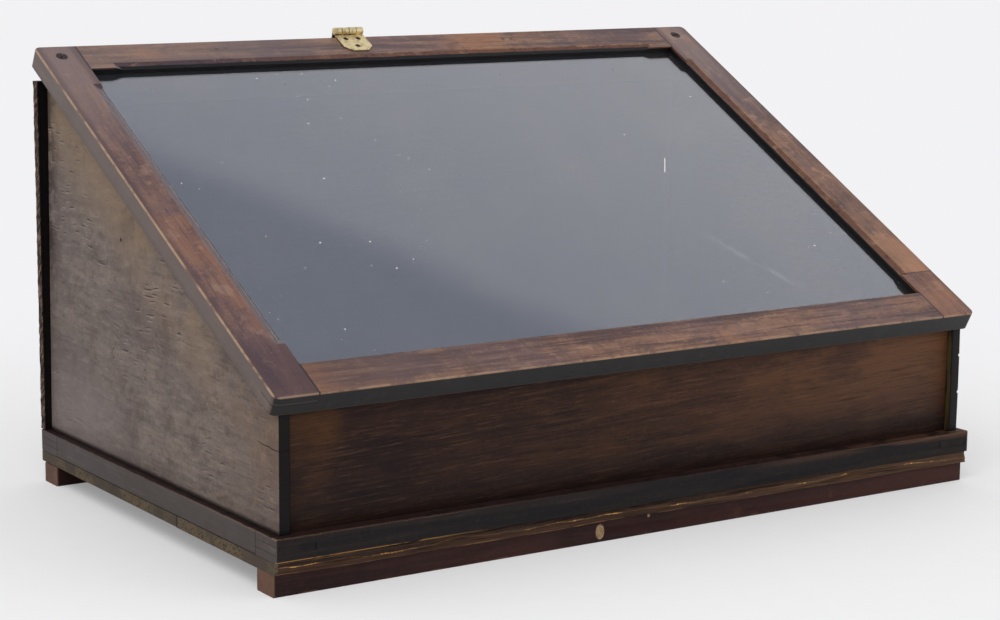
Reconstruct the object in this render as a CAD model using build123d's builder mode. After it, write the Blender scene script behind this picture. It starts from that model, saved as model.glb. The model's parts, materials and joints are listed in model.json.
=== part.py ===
from build123d import *
from math import atan, cos, degrees, radians, sin, tan
import os

# A slant-front display case: a shallow wooden box with a sloping, glazed lid hinged at its top rear edge.
# X runs along the front, Y from front to back, Z up. The origin is on the floor, at the middle of the
# whole case. Lengths are in millimetres, angles in degrees.

# Lid as a whole
lid_width = 600.0
lid_length = 418.0
lid_thickness = 14.5
slope_angle = 28.0
front_height = 130.8

# Lid frame
stile_width = 32.5
rail_width = 32.0
lap_share = 0.5
glass_depth = 5.8
rebate_width = 8.0
repair_length = 55.0
repair_scarf = 12.0
chamfer_width = 7.0
chamfer_depth = 2.4
chamfer_stop = 20.0
worn_chamfer = 1.6
corner_radius = 5.0
arris_radius = 1.2

# Glazing
glass_thickness = 2.4
glass_clearance = 1.0
bead_width = 6.5
bead_gap = 0.1
pin_radius = 0.6
pin_length = 13.0
pin_clearance = 0.05
long_bead_pins = 3
short_bead_pins = 2

# Screws through the lid's rear corners, and plugs in the screw holes of two lost hinges
corner_screw_head = 4.5
corner_screw_shank = 2.0
corner_screw_length = 12.0
corner_screw_inset = 17.0
corner_screw_setback = 14.0
screw_cone_angle = 82.0
screw_clearance = 0.05
slot_share = 0.22
plug_radius = 1.5
plug_depth = 8.0
plug_clearance = 0.05
plug_setback = 11.0
plug_half_pitch = 4.0
lost_hinge_left = -151.0
lost_hinge_right = 111.0

# Case
side_overhang = 7.0
front_overhang = 1.0
lid_seat_gap = 0.2
lid_back_gap = 0.3
side_thickness = 8.0
side_back_lean = 7.0
front_thickness = 8.0
front_recess = 5.2
back_thickness = 7.7
back_end_overhang = 6.0
back_end_raggedness = 1.4
back_top_gap = 8.5
hinge_rail_thickness = 15.0
hinge_rail_lap = 20.0
nick_radius = 1.2
nick_height_shares = (0.38, 0.74)

# Base
base_ledge = 6.0
base_back_inset = 3.2
strip_width = 28.0
strip_height = 16.0
finger_gap = 0.1
board_thickness = 8.5
front_board_width = 142.0
board_seam = 0.3
torn_depth = 3.0
batten_height = 14.7
batten_width = 22.0
batten_front_setback = 3.8
batten_back_setback = 5.0
batten_short_end = 2.5
batten_plug_place = -43.7
batten_plug_width = 7.6
batten_plug_height = 11.5
batten_plug_depth = 9.0

# Nails
nail_radius = 0.8
nail_head_radius = 1.7
nail_head_thickness = 0.8
nail_clearance = 0.05
batten_nail_length = 31.0
back_nail_length = 24.0

# Brass hinge
hinge_place = -33.0
hinge_width = 25.4
hinge_setback = 4.0
knuckle_radius = 2.9
knuckle_count = 4
knuckle_gap = 0.2
hinge_pin_radius = 1.3
hinge_pin_clearance = 0.06
leaf_thickness = 1.2
leaf_reach = 25.8
leaf_clip = 5.8
leaf_screw_near = 8.6
leaf_screw_far = 19.3
leaf_screw_half_pitch = 5.6
leaf_screw_head = 2.2
leaf_screw_shank = 1.2
lid_leaf_screw_length = 9.0
back_leaf_screw_length = 14.0
back_leaf_hold = 22.0
crank_rise = 6.5

# One overrun serves all cuts.
overrun = 2.0

# Uneven edges, as shares: the first of each pair is the place along the edge, the second the depth
torn_edge_shares = (
    (0.0, 0.1),
    (0.12, 0.3),
    (0.27, 0.15),
    (0.38, 0.8),
    (0.5, 0.45),
    (0.62, 1.0),
    (0.74, 0.35),
    (0.88, 0.6),
    (1.0, 0.1),
)
ragged_end_shares = (
    (0.0, 0.2),
    (0.09, 0.9),
    (0.2, 0.3),
    (0.34, 1.0),
    (0.47, 0.1),
    (0.6, 0.8),
    (0.73, 0.3),
    (0.87, 0.9),
    (1.0, 0.0),
)

# Nail places, as shares of the length that they hold
batten_nail_shares = (-0.88, -0.3, 0.3, 0.88)
back_edge_nail_shares = (0.1, 0.36, 0.62)
back_rail_nail_shares = (-0.75, -0.35, 0.35, 0.75)

# Worked out from the sizes above
slope = radians(slope_angle)
half_lid = lid_width / 2
lid_depth = lid_length * cos(slope) + lid_thickness * sin(slope)
front_arris_wear = arris_radius * (cos(slope) + sin(slope) - 1)
overall_depth = lid_depth - front_arris_wear + lid_back_gap + leaf_thickness
lid_front = -overall_depth / 2 - front_arris_wear
opening_half_width = half_lid - stile_width
opening_low = rail_width
opening_high = lid_length - rail_width
lap_depth = lid_thickness * lap_share
rebate_half_width = opening_half_width + rebate_width
rebate_low = opening_low - rebate_width
rebate_high = opening_high + rebate_width
bead_top = -(glass_depth + glass_thickness)

case_back = lid_front + lid_depth + lid_back_gap
case_half_width = half_lid - side_overhang
side_front = lid_front + lid_thickness * sin(slope) + front_overhang
back_front = case_back - back_thickness
inner_half_width = case_half_width - side_thickness
panel_front = side_front + front_recess
panel_back = panel_front + front_thickness

board_bottom = batten_height
board_top = board_bottom + board_thickness
base_top = board_top + strip_height
base_half_width = case_half_width + base_ledge
base_front = side_front - base_ledge
base_back = case_back - base_back_inset
board_split = base_front + front_board_width

hinge_slope_place = lid_length + hinge_setback
hinge_y = lid_front + hinge_slope_place * cos(slope) - knuckle_radius * sin(slope)
hinge_z = front_height + hinge_slope_place * sin(slope) + knuckle_radius * cos(slope)
hinge_left = hinge_place - hinge_width / 2
hinge_right = hinge_place + hinge_width / 2
knuckle_clear = knuckle_radius + knuckle_gap

# The lid's own planes. lid_plane lies on its top face, with local X along the front and local Y up the
# slope. lid_side shows the lid's section from the right, lid_end from the front.
lid_plane = Plane(
    origin=(0, lid_front, front_height),
    x_dir=(1, 0, 0),
    z_dir=(0, -sin(slope), cos(slope)),
)
lid_side = Plane(origin=lid_plane.origin, x_dir=lid_plane.y_dir, z_dir=(1, 0, 0))
lid_end = Plane(origin=lid_plane.origin, x_dir=(1, 0, 0), z_dir=-lid_plane.y_dir)


def under_lid(y):
    """Height of the slanting top edge of the case at y, just below the lid."""
    fall = (lid_thickness + lid_seat_gap) / cos(slope)
    return front_height - fall + (y - lid_front) * tan(slope)


back_top = under_lid(back_front) - back_top_gap
rail_bottom = back_top - hinge_rail_lap
back_leaf_bottom = back_top - back_leaf_hold


def write(builder, name):
    """Label one finished piece and write its file."""
    builder.part.label = name
    export_step(builder.part, f"parts/{name}.step")


def block(low, high, mode=Mode.ADD):
    """A square block between two corners."""
    size = [top - bottom for bottom, top in zip(low, high)]
    with Locations(low):
        Box(*size, align=(Align.MIN, Align.MIN, Align.MIN), mode=mode)


def lid_block(low, high, mode=Mode.ADD):
    """A square block in the lid's plane: across, up the slope, and square to the glass."""
    with Locations(lid_plane.location):
        block(low, high, mode)


def slab(plane, points, thickness, mode=Mode.ADD):
    """A flat outline on a plane, given thickness."""
    with BuildSketch(plane) as outline:
        with BuildLine():
            Polyline(*points, close=True)
        make_face()
    extrude(outline.sketch, amount=thickness, mode=mode)


def spread(count, reach):
    """Places for a row of fixings, evenly spaced over a full length, either side of its middle."""
    return [reach * ((index + 0.5) / count - 0.5) for index in range(count)]


def cone_depth(head, shank):
    """Depth of a countersunk head, from its rim down to the shank."""
    return (head - shank) / tan(radians(screw_cone_angle / 2))


def wood_screw(head, shank, length):
    """A slotted countersunk screw, its head flush with the origin, its point towards -Z."""
    slot_width = head * slot_share
    with BuildPart() as screw:
        with BuildSketch(Plane.XZ) as half_section:
            with BuildLine():
                Polyline(
                    (0, 0),
                    (head, 0),
                    (shank, -cone_depth(head, shank)),
                    (shank, -length + shank),
                    (0, -length),
                    close=True,
                )
            make_face()
        revolve(axis=Axis.Z)
        Box(head * 2, slot_width, slot_width * 2, mode=Mode.SUBTRACT)
    return screw.part


def screw_hole(head, shank, length):
    """The hole for a countersunk screw, a little larger all round."""
    CounterSinkHole(
        shank + screw_clearance,
        head + screw_clearance,
        length + screw_clearance,
        screw_cone_angle,
    )


def nail(length):
    """A flat-headed nail, its head flush with the origin, its point towards -Z."""
    hanging = (Align.CENTER, Align.CENTER, Align.MAX)
    with BuildPart() as body:
        Cylinder(nail_radius, length, align=hanging)
        Cylinder(nail_head_radius, nail_head_thickness, align=hanging)
    return body.part


def nail_hole(length):
    """The hole that a nail has made, a little larger all round."""
    CounterBoreHole(
        nail_radius + nail_clearance,
        nail_head_radius + nail_clearance,
        nail_head_thickness + nail_clearance,
        length + nail_clearance,
    )


def cut_rebate():
    """The rebate for the glass, open to the lid's underside."""
    lid_block(
        (-rebate_half_width, rebate_low, -lid_thickness - overrun),
        (rebate_half_width, rebate_high, -glass_depth),
        Mode.SUBTRACT,
    )


def cut_stopped_chamfer(centre, width, length):
    """A broad chamfer along an inner edge that runs out before both corners."""
    with BuildSketch(lid_plane) as chamfer_plan:
        with Locations(centre):
            Rectangle(width, length)
    chamfer_slant = degrees(atan(chamfer_width / chamfer_depth))
    extrude(chamfer_plan.sketch, amount=-chamfer_depth, taper=chamfer_slant, mode=Mode.SUBTRACT)


def cut_stile_chamfer(side):
    """The stopped chamfer of the left stile, with side -1, or of the right one, with side 1."""
    cut_stopped_chamfer(
        (side * (opening_half_width - chamfer_width), lid_length / 2),
        chamfer_width * 4,
        opening_high - opening_low - chamfer_stop * 2,
    )


def corner_screw_spots():
    """The two screws at the lid's rear corners, on its top face."""
    inset = half_lid - corner_screw_inset
    setback = lid_length - corner_screw_setback
    return [lid_plane * Location((side * inset, setback, 0)) for side in (-1, 1)]


def plug_spots():
    """The plugged screw holes of the two lost hinges, on the top rail's top face."""
    spots = []
    for place in (lost_hinge_left, lost_hinge_right):
        for side in (-1, 1):
            spot = (place + side * plug_half_pitch, lid_length - plug_setback, 0)
            spots.append(lid_plane * Location(spot))
    return spots


def bead_pin_spots():
    """Every pin through the glazing beads, pointing outwards into the frame, by the edge it is on."""
    level = (bead_top - lid_thickness) / 2
    inner_x = rebate_half_width - bead_width
    inner_low = rebate_low + bead_width
    inner_high = rebate_high - bead_width
    middle = (rebate_low + rebate_high) / 2
    spots = {"top": [], "bottom": [], "left": [], "right": []}
    for x in spread(long_bead_pins, rebate_half_width * 2):
        spots["top"].append(lid_plane * Location((x, inner_high, level), (90, 0, 0)))
        spots["bottom"].append(lid_plane * Location((x, inner_low, level), (-90, 0, 0)))
    for offset in spread(short_bead_pins, rebate_high - rebate_low):
        spots["left"].append(lid_plane * Location((-inner_x, middle + offset, level), (0, 90, 0)))
        spots["right"].append(lid_plane * Location((inner_x, middle + offset, level), (0, -90, 0)))
    return spots


def cut_pin_holes(side):
    """Holes for the bead pins of one edge."""
    with Locations(*bead_pin_spots()[side]):
        Hole(pin_radius + pin_clearance, pin_length + pin_clearance)


def lid_leaf_spots():
    """The three screws of the lid's hinge leaf, on the leaf's top face."""
    near = hinge_slope_place - leaf_screw_near
    far = hinge_slope_place - leaf_screw_far
    points = (
        (hinge_place - leaf_screw_half_pitch, near, leaf_thickness),
        (hinge_place + leaf_screw_half_pitch, near, leaf_thickness),
        (hinge_place, far, leaf_thickness),
    )
    return [lid_plane * Location(point) for point in points]


def back_leaf_spots():
    """The three screws of the case's hinge leaf, on its rear face, with the same pitch as the lid's."""
    far = back_leaf_bottom + leaf_reach - leaf_screw_far
    near = far + leaf_screw_far - leaf_screw_near
    outer = case_back + leaf_thickness
    points = (
        (hinge_place - leaf_screw_half_pitch, outer, near),
        (hinge_place + leaf_screw_half_pitch, outer, near),
        (hinge_place, outer, far),
    )
    return [Location(point, (-90, 0, 0)) for point in points]


def batten_nail_spots(y):
    """Nails up through a foot batten, their heads on its underside."""
    return [Location((share * base_half_width, y, 0), (180, 0, 0)) for share in batten_nail_shares]


def back_edge_nail_spots(side):
    """Nails through the back panel into the rear edge of one side panel."""
    x = side * (case_half_width + inner_half_width) / 2
    heights = [base_top + share * (back_top - base_top) for share in back_edge_nail_shares]
    return [Location((x, case_back, z), (-90, 0, 0)) for z in heights]


def back_rail_nail_spots():
    """Nails through the back panel into the hinge rail."""
    z = (rail_bottom + back_top) / 2
    places = [share * inner_half_width for share in back_rail_nail_shares]
    return [Location((x, case_back, z), (-90, 0, 0)) for x in places]


os.makedirs("parts", exist_ok=True)

# Lid outline: the rounded plan and worn top edge that all pieces of the lid frame share
with BuildPart() as lid_outline:
    with BuildSketch(lid_plane):
        with Locations((0, lid_length / 2)):
            RectangleRounded(lid_width, lid_length, corner_radius)
    extrude(amount=-lid_thickness)
    top_face = lid_outline.faces().sort_by(Axis(lid_plane.origin, lid_plane.z_dir))[-1]
    fillet(top_face.edges(), arris_radius)

# Lid, left stile: the upper half of each corner lap, running through to both ends
with BuildPart() as lid_left_stile:
    slab(
        lid_side.offset(-half_lid),
        [
            (0, 0),
            (lid_length, 0),
            (lid_length, -lap_depth),
            (opening_high, -lap_depth),
            (opening_high, -lid_thickness),
            (opening_low, -lid_thickness),
            (opening_low, -lap_depth),
            (0, -lap_depth),
        ],
        stile_width,
    )
    cut_rebate()
    cut_stile_chamfer(-1)
    cut_pin_holes("left")
    with Locations(corner_screw_spots()[0]):
        screw_hole(corner_screw_head, corner_screw_shank, corner_screw_length)
    add(lid_outline.part, mode=Mode.INTERSECT)
write(lid_left_stile, "lid_left_stile")

# Lid, right stile: its front end is a replacement, glued on with a slanting scarf
with BuildPart() as lid_right_stile:
    slab(
        lid_side.offset(opening_half_width),
        [
            (repair_length, 0),
            (lid_length, 0),
            (lid_length, -lap_depth),
            (opening_high, -lap_depth),
            (opening_high, -lid_thickness),
            (repair_length + repair_scarf, -lid_thickness),
        ],
        stile_width,
    )
    cut_rebate()
    cut_stile_chamfer(1)
    cut_pin_holes("right")
    with Locations(corner_screw_spots()[1]):
        screw_hole(corner_screw_head, corner_screw_shank, corner_screw_length)
    add(lid_outline.part, mode=Mode.INTERSECT)
write(lid_right_stile, "lid_right_stile")

# Lid, replaced front end of the right stile
with BuildPart() as lid_right_stile_repair:
    slab(
        lid_side.offset(opening_half_width),
        [
            (0, 0),
            (repair_length, 0),
            (repair_length + repair_scarf, -lid_thickness),
            (opening_low, -lid_thickness),
            (opening_low, -lap_depth),
            (0, -lap_depth),
        ],
        stile_width,
    )
    cut_rebate()
    cut_stile_chamfer(1)
    add(lid_outline.part, mode=Mode.INTERSECT)
write(lid_right_stile_repair, "lid_right_stile_repair")


def cut_rail():
    """A rail's front view: full thickness between the stiles, with a tongue under each of them."""
    slab(
        lid_end,
        [
            (-opening_half_width, 0),
            (opening_half_width, 0),
            (opening_half_width, -lap_depth),
            (half_lid, -lap_depth),
            (half_lid, -lid_thickness),
            (-half_lid, -lid_thickness),
            (-half_lid, -lap_depth),
            (-opening_half_width, -lap_depth),
        ],
        -lid_length,
    )


# Lid, top rail: carries the hinge, and has the plugged screw holes of the lost ones
with BuildPart() as lid_top_rail:
    cut_rail()
    lid_block(
        (-half_lid - overrun, -overrun, -lid_thickness - overrun),
        (half_lid + overrun, opening_high, overrun),
        Mode.SUBTRACT,
    )
    cut_rebate()
    cut_stopped_chamfer(
        (0, opening_high - chamfer_width),
        (opening_half_width - chamfer_stop) * 2,
        chamfer_width * 4,
    )
    cut_pin_holes("top")
    with Locations(*corner_screw_spots()):
        screw_hole(corner_screw_head, corner_screw_shank, corner_screw_length)
    with Locations(*plug_spots()):
        Hole(plug_radius + plug_clearance, plug_depth + plug_clearance)
    with Locations(*lid_leaf_spots()):
        screw_hole(leaf_screw_head, leaf_screw_shank, lid_leaf_screw_length)
    add(lid_outline.part, mode=Mode.INTERSECT)
write(lid_top_rail, "lid_top_rail")

# Lid, bottom rail: its inner top edge is worn, not chamfered
with BuildPart() as lid_bottom_rail:
    cut_rail()
    lid_block(
        (-half_lid - overrun, opening_low, -lid_thickness - overrun),
        (half_lid + overrun, lid_length + overrun, overrun),
        Mode.SUBTRACT,
    )
    cut_rebate()
    cut_pin_holes("bottom")
    slope_axis = Axis(lid_plane.origin, lid_plane.y_dir)
    normal_axis = Axis(lid_plane.origin, lid_plane.z_dir)
    long_edges = lid_bottom_rail.edges().filter_by(Axis.X).sort_by(normal_axis)
    inner_edge = long_edges.group_by(normal_axis)[-1].sort_by(slope_axis)[-1]
    chamfer(inner_edge, worn_chamfer)
    add(lid_outline.part, mode=Mode.INTERSECT)
write(lid_bottom_rail, "lid_bottom_rail")

# Glass, laid in the rebate from below
with BuildPart() as glass_pane:
    glass_half_width = rebate_half_width - glass_clearance
    lid_block(
        (-glass_half_width, rebate_low + glass_clearance, bead_top),
        (glass_half_width, rebate_high - glass_clearance, -glass_depth),
    )
write(glass_pane, "glass_pane")

# Glazing beads: the long ones run through, the short ones fit between them
with BuildPart() as glazing_bead_top:
    lid_block(
        (-rebate_half_width, rebate_high - bead_width, -lid_thickness),
        (rebate_half_width, rebate_high, bead_top),
    )
    cut_pin_holes("top")
write(glazing_bead_top, "glazing_bead_top")

with BuildPart() as glazing_bead_bottom:
    lid_block(
        (-rebate_half_width, rebate_low, -lid_thickness),
        (rebate_half_width, rebate_low + bead_width, bead_top),
    )
    cut_pin_holes("bottom")
write(glazing_bead_bottom, "glazing_bead_bottom")

with BuildPart() as glazing_bead_left:
    lid_block(
        (-rebate_half_width, rebate_low + bead_width + bead_gap, -lid_thickness),
        (-rebate_half_width + bead_width, rebate_high - bead_width - bead_gap, bead_top),
    )
    cut_pin_holes("left")
write(glazing_bead_left, "glazing_bead_left")

with BuildPart() as glazing_bead_right:
    lid_block(
        (rebate_half_width - bead_width, rebate_low + bead_width + bead_gap, -lid_thickness),
        (rebate_half_width, rebate_high - bead_width - bead_gap, bead_top),
    )
    cut_pin_holes("right")
write(glazing_bead_right, "glazing_bead_right")

# Pins through the beads into the frame
with BuildPart() as glazing_bead_pins:
    for side_spots in bead_pin_spots().values():
        with Locations(*side_spots):
            Cylinder(pin_radius, pin_length, align=(Align.CENTER, Align.CENTER, Align.MAX))
write(glazing_bead_pins, "glazing_bead_pins")

# Screws that hold the rear corner laps
with BuildPart() as lid_corner_screws:
    with Locations(*corner_screw_spots()):
        add(wood_screw(corner_screw_head, corner_screw_shank, corner_screw_length))
write(lid_corner_screws, "lid_corner_screws")

# Wooden plugs in the screw holes of the lost hinges
with BuildPart() as lost_hinge_plugs:
    with Locations(*plug_spots()):
        Cylinder(plug_radius, plug_depth, align=(Align.CENTER, Align.CENTER, Align.MAX))
write(lost_hinge_plugs, "lost_hinge_plugs")


def knuckle_edges(index):
    """The two ends of one knuckle, clear of its neighbours."""
    pitch = hinge_width / knuckle_count
    left = hinge_left + index * pitch + (knuckle_gap / 2 if index else 0)
    right = hinge_left + (index + 1) * pitch
    if index < knuckle_count - 1:
        right -= knuckle_gap / 2
    return left, right


def knuckle(index):
    """One rolled knuckle, solid until the pin's bore is cut."""
    left, right = knuckle_edges(index)
    with Locations(Location((left, hinge_y, hinge_z), (0, 90, 0))):
        Cylinder(knuckle_radius, right - left, align=(Align.CENTER, Align.CENTER, Align.MIN))


def pin_bore():
    """The bore for the hinge pin, through a leaf's knuckles."""
    with Locations(Location((hinge_place, hinge_y, hinge_z), (0, 90, 0))):
        Cylinder(hinge_pin_radius + hinge_pin_clearance, hinge_width + overrun, mode=Mode.SUBTRACT)


# Hinge, lid leaf: a plate with clipped corners that lies on the top rail, with every second knuckle
with BuildPart() as hinge_lid_leaf:
    leaf_end = hinge_slope_place - leaf_reach
    plate_end = hinge_slope_place - knuckle_clear
    slab(
        lid_plane,
        [
            (hinge_left, plate_end),
            (hinge_left, leaf_end + leaf_clip),
            (hinge_left + leaf_clip, leaf_end),
            (hinge_right - leaf_clip, leaf_end),
            (hinge_right, leaf_end + leaf_clip),
            (hinge_right, plate_end),
        ],
        leaf_thickness,
    )
    for index in range(1, knuckle_count, 2):
        left, right = knuckle_edges(index)
        lid_block((left, plate_end, 0), (right, hinge_slope_place, leaf_thickness))
        knuckle(index)
    pin_bore()
    with Locations(*lid_leaf_spots()):
        screw_hole(leaf_screw_head, leaf_screw_shank, lid_leaf_screw_length)
write(hinge_lid_leaf, "hinge_lid_leaf")

# Hinge, case leaf: cranked back past the lid's rear edge, then down the back panel
with BuildPart() as hinge_case_leaf:
    leaf_front = hinge_y + knuckle_radius - leaf_thickness
    leaf_shoulder = hinge_z - knuckle_clear
    crank_foot = leaf_shoulder - crank_rise
    leaf_section = Plane(origin=(hinge_left, 0, 0), x_dir=(0, 1, 0), z_dir=(1, 0, 0))
    slab(
        leaf_section,
        [
            (leaf_front, leaf_shoulder),
            (case_back, crank_foot),
            (case_back, back_leaf_bottom),
            (case_back + leaf_thickness, back_leaf_bottom),
            (case_back + leaf_thickness, crank_foot),
            (leaf_front + leaf_thickness, leaf_shoulder),
        ],
        hinge_width,
    )
    lower_corners = hinge_case_leaf.edges().filter_by(Axis.Y).group_by(Axis.Z)[0]
    chamfer(lower_corners, leaf_clip)
    for index in range(0, knuckle_count, 2):
        left, right = knuckle_edges(index)
        block((left, leaf_front, leaf_shoulder), (right, leaf_front + leaf_thickness, hinge_z))
        knuckle(index)
    pin_bore()
    with Locations(*back_leaf_spots()):
        screw_hole(leaf_screw_head, leaf_screw_shank, back_leaf_screw_length)
write(hinge_case_leaf, "hinge_case_leaf")

# Hinge pin, flush with the outer knuckles
with BuildPart() as hinge_pin:
    with Locations(Location((hinge_place, hinge_y, hinge_z), (0, 90, 0))):
        Cylinder(hinge_pin_radius, hinge_width)
write(hinge_pin, "hinge_pin")

# Hinge screws
with BuildPart() as hinge_lid_screws:
    with Locations(*lid_leaf_spots()):
        add(wood_screw(leaf_screw_head, leaf_screw_shank, lid_leaf_screw_length))
write(hinge_lid_screws, "hinge_lid_screws")

with BuildPart() as hinge_case_screws:
    with Locations(*back_leaf_spots()):
        add(wood_screw(leaf_screw_head, leaf_screw_shank, back_leaf_screw_length))
write(hinge_case_screws, "hinge_case_screws")


def side_panel(side):
    """A side panel's outline, from its bottom front corner round; its rear edge leans forwards."""
    outer = min(side * case_half_width, side * inner_half_width)
    leaning_back = back_front - side_back_lean
    slab(
        Plane(origin=(outer, 0, 0), x_dir=(0, 1, 0), z_dir=(1, 0, 0)),
        [
            (side_front, base_top),
            (back_front, base_top),
            (leaning_back, under_lid(leaning_back)),
            (side_front, under_lid(side_front)),
        ],
        side_thickness,
    )
    with Locations(*back_edge_nail_spots(side)):
        nail_hole(back_nail_length)


# Side panels
with BuildPart() as left_side_panel:
    side_panel(-1)
write(left_side_panel, "left_side_panel")

with BuildPart() as right_side_panel:
    side_panel(1)
    for share in nick_height_shares:
        nick_height = base_top + share * (under_lid(side_front) - base_top)
        with Locations(Location((case_half_width, side_front, nick_height), (90, 0, 0))):
            Cylinder(nick_radius, nick_radius * 2, mode=Mode.SUBTRACT)
write(right_side_panel, "right_side_panel")

# Front panel, set back between the side panels, its top edge cut to the lid's slope
with BuildPart() as front_panel:
    slab(
        Plane(origin=(-inner_half_width, 0, 0), x_dir=(0, 1, 0), z_dir=(1, 0, 0)),
        [
            (panel_front, base_top),
            (panel_back, base_top),
            (panel_back, under_lid(panel_back)),
            (panel_front, under_lid(panel_front)),
        ],
        inner_half_width * 2,
    )
write(front_panel, "front_panel")

# Back panel: its left end is split and ragged
with BuildPart() as back_panel:
    back_half_width = case_half_width + back_end_overhang
    back_height = back_top - base_top
    ragged_end = [
        (-back_half_width + depth * back_end_raggedness, base_top + height * back_height)
        for height, depth in ragged_end_shares
    ]
    slab(
        Plane(origin=(0, case_back, 0), x_dir=(1, 0, 0), z_dir=(0, -1, 0)),
        ragged_end + [(back_half_width, back_top), (back_half_width, base_top)],
        back_thickness,
    )
    with Locations(*back_edge_nail_spots(-1), *back_edge_nail_spots(1), *back_rail_nail_spots()):
        nail_hole(back_nail_length)
    with Locations(*back_leaf_spots()):
        screw_hole(leaf_screw_head, leaf_screw_shank, back_leaf_screw_length)
write(back_panel, "back_panel")

# Hinge rail between the side panels: stiffens the back's top edge and takes the hinge screws
with BuildPart() as hinge_rail:
    rail_front = back_front - hinge_rail_thickness
    slab(
        Plane(origin=(-inner_half_width, 0, 0), x_dir=(0, 1, 0), z_dir=(1, 0, 0)),
        [
            (rail_front, rail_bottom),
            (back_front, rail_bottom),
            (back_front, under_lid(back_front)),
            (rail_front, under_lid(rail_front)),
        ],
        inner_half_width * 2,
    )
    with Locations(*back_rail_nail_spots()):
        nail_hole(back_nail_length)
    with Locations(*back_leaf_spots()):
        screw_hole(leaf_screw_head, leaf_screw_shank, back_leaf_screw_length)
write(hinge_rail, "hinge_rail")

# Nails through the back panel
with BuildPart() as back_panel_nails:
    with Locations(*back_edge_nail_spots(-1), *back_edge_nail_spots(1), *back_rail_nail_spots()):
        add(nail(back_nail_length))
write(back_panel_nails, "back_panel_nails")

finger_low = board_top + strip_height / 3
finger_high = base_top - strip_height / 3
front_batten_middle = base_front + batten_front_setback + batten_width / 2
back_batten_middle = base_back - batten_back_setback - batten_width / 2


def long_strip(y_low, y_high):
    """A base strip along the front or back, with two fingers at each end."""
    block((-base_half_width, y_low, board_top), (base_half_width, y_high, base_top))
    for side in (-1, 1):
        ends = sorted((side * (base_half_width - strip_width), side * (base_half_width + overrun)))
        block(
            (ends[0], y_low - overrun, finger_low),
            (ends[1], y_high + overrun, finger_high),
            Mode.SUBTRACT,
        )


def short_strip(x_low, x_high):
    """A base strip along one side: full height between the long strips, one finger through each."""
    block(
        (x_low, base_front + strip_width + finger_gap, board_top),
        (x_high, base_back - strip_width - finger_gap, base_top),
    )
    block(
        (x_low, base_front, finger_low + finger_gap),
        (x_high, base_back, finger_high - finger_gap),
    )


# Base strips, finger-jointed at the corners
with BuildPart() as base_strip_front:
    long_strip(base_front, base_front + strip_width)
    with Locations(*batten_nail_spots(front_batten_middle)):
        nail_hole(batten_nail_length)
write(base_strip_front, "base_strip_front")

with BuildPart() as base_strip_back:
    long_strip(base_back - strip_width, base_back)
    with Locations(*batten_nail_spots(back_batten_middle)):
        nail_hole(batten_nail_length)
write(base_strip_back, "base_strip_back")

with BuildPart() as base_strip_left:
    short_strip(-base_half_width, -base_half_width + strip_width - finger_gap)
write(base_strip_left, "base_strip_left")

with BuildPart() as base_strip_right:
    short_strip(base_half_width - strip_width + finger_gap, base_half_width)
write(base_strip_right, "base_strip_right")

# Bottom boards: the front edge of the front one is torn along its length
with BuildPart() as bottom_board_front:
    board_length = base_half_width * 2
    torn_edge = [
        (place * board_length - base_half_width, base_front + depth * torn_depth)
        for place, depth in torn_edge_shares
    ]
    with BuildSketch(Plane.XY.offset(board_bottom)) as board_plan:
        with BuildLine():
            edge = Spline(*torn_edge)
            Polyline(
                edge @ 1,
                (base_half_width, board_split),
                (-base_half_width, board_split),
                edge @ 0,
            )
        make_face()
    extrude(board_plan.sketch, amount=board_thickness)
    with Locations(*batten_nail_spots(front_batten_middle)):
        nail_hole(batten_nail_length)
write(bottom_board_front, "bottom_board_front")

with BuildPart() as bottom_board_back:
    block(
        (-base_half_width, board_split + board_seam, board_bottom),
        (base_half_width, base_back, board_top),
    )
    with Locations(*batten_nail_spots(back_batten_middle)):
        nail_hole(batten_nail_length)
write(bottom_board_back, "bottom_board_back")


def foot_batten(middle):
    """A batten that the case stands on, a little short at its right end."""
    block(
        (-base_half_width, middle - batten_width / 2, 0),
        (base_half_width - batten_short_end, middle + batten_width / 2, batten_height),
    )
    with Locations(*batten_nail_spots(middle)):
        nail_hole(batten_nail_length)


# Foot battens, with an oval plug in the face of the front one
plug_face = Plane(
    origin=(batten_plug_place, front_batten_middle - batten_width / 2, batten_height / 2),
    x_dir=(1, 0, 0),
    z_dir=(0, -1, 0),
)
with BuildPart() as foot_batten_front:
    foot_batten(front_batten_middle)
    with BuildSketch(plug_face) as plug_hole:
        Ellipse(batten_plug_width / 2 + plug_clearance, batten_plug_height / 2 + plug_clearance)
    extrude(plug_hole.sketch, amount=-batten_plug_depth - plug_clearance, mode=Mode.SUBTRACT)
write(foot_batten_front, "foot_batten_front")

with BuildPart() as foot_batten_back:
    foot_batten(back_batten_middle)
write(foot_batten_back, "foot_batten_back")

with BuildPart() as foot_batten_plug:
    with BuildSketch(plug_face):
        Ellipse(batten_plug_width / 2, batten_plug_height / 2)
    extrude(amount=-batten_plug_depth)
write(foot_batten_plug, "foot_batten_plug")

# Nails up through the battens and boards into the strips
with BuildPart() as foot_batten_nails:
    with Locations(*batten_nail_spots(front_batten_middle), *batten_nail_spots(back_batten_middle)):
        add(nail(batten_nail_length))
write(foot_batten_nails, "foot_batten_nails")

print("hinge axis, y and z:", round(hinge_y, 3), round(hinge_z, 3))
print("depth and floor to the hinge's top:", round(overall_depth, 3), round(hinge_z + knuckle_radius, 3))
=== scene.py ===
from functools import reduce
import json
import math

import bmesh
import bpy
from bpy.props import FloatProperty, FloatVectorProperty, IntProperty, PointerProperty
from mathutils import Euler, Matrix, Vector


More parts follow.
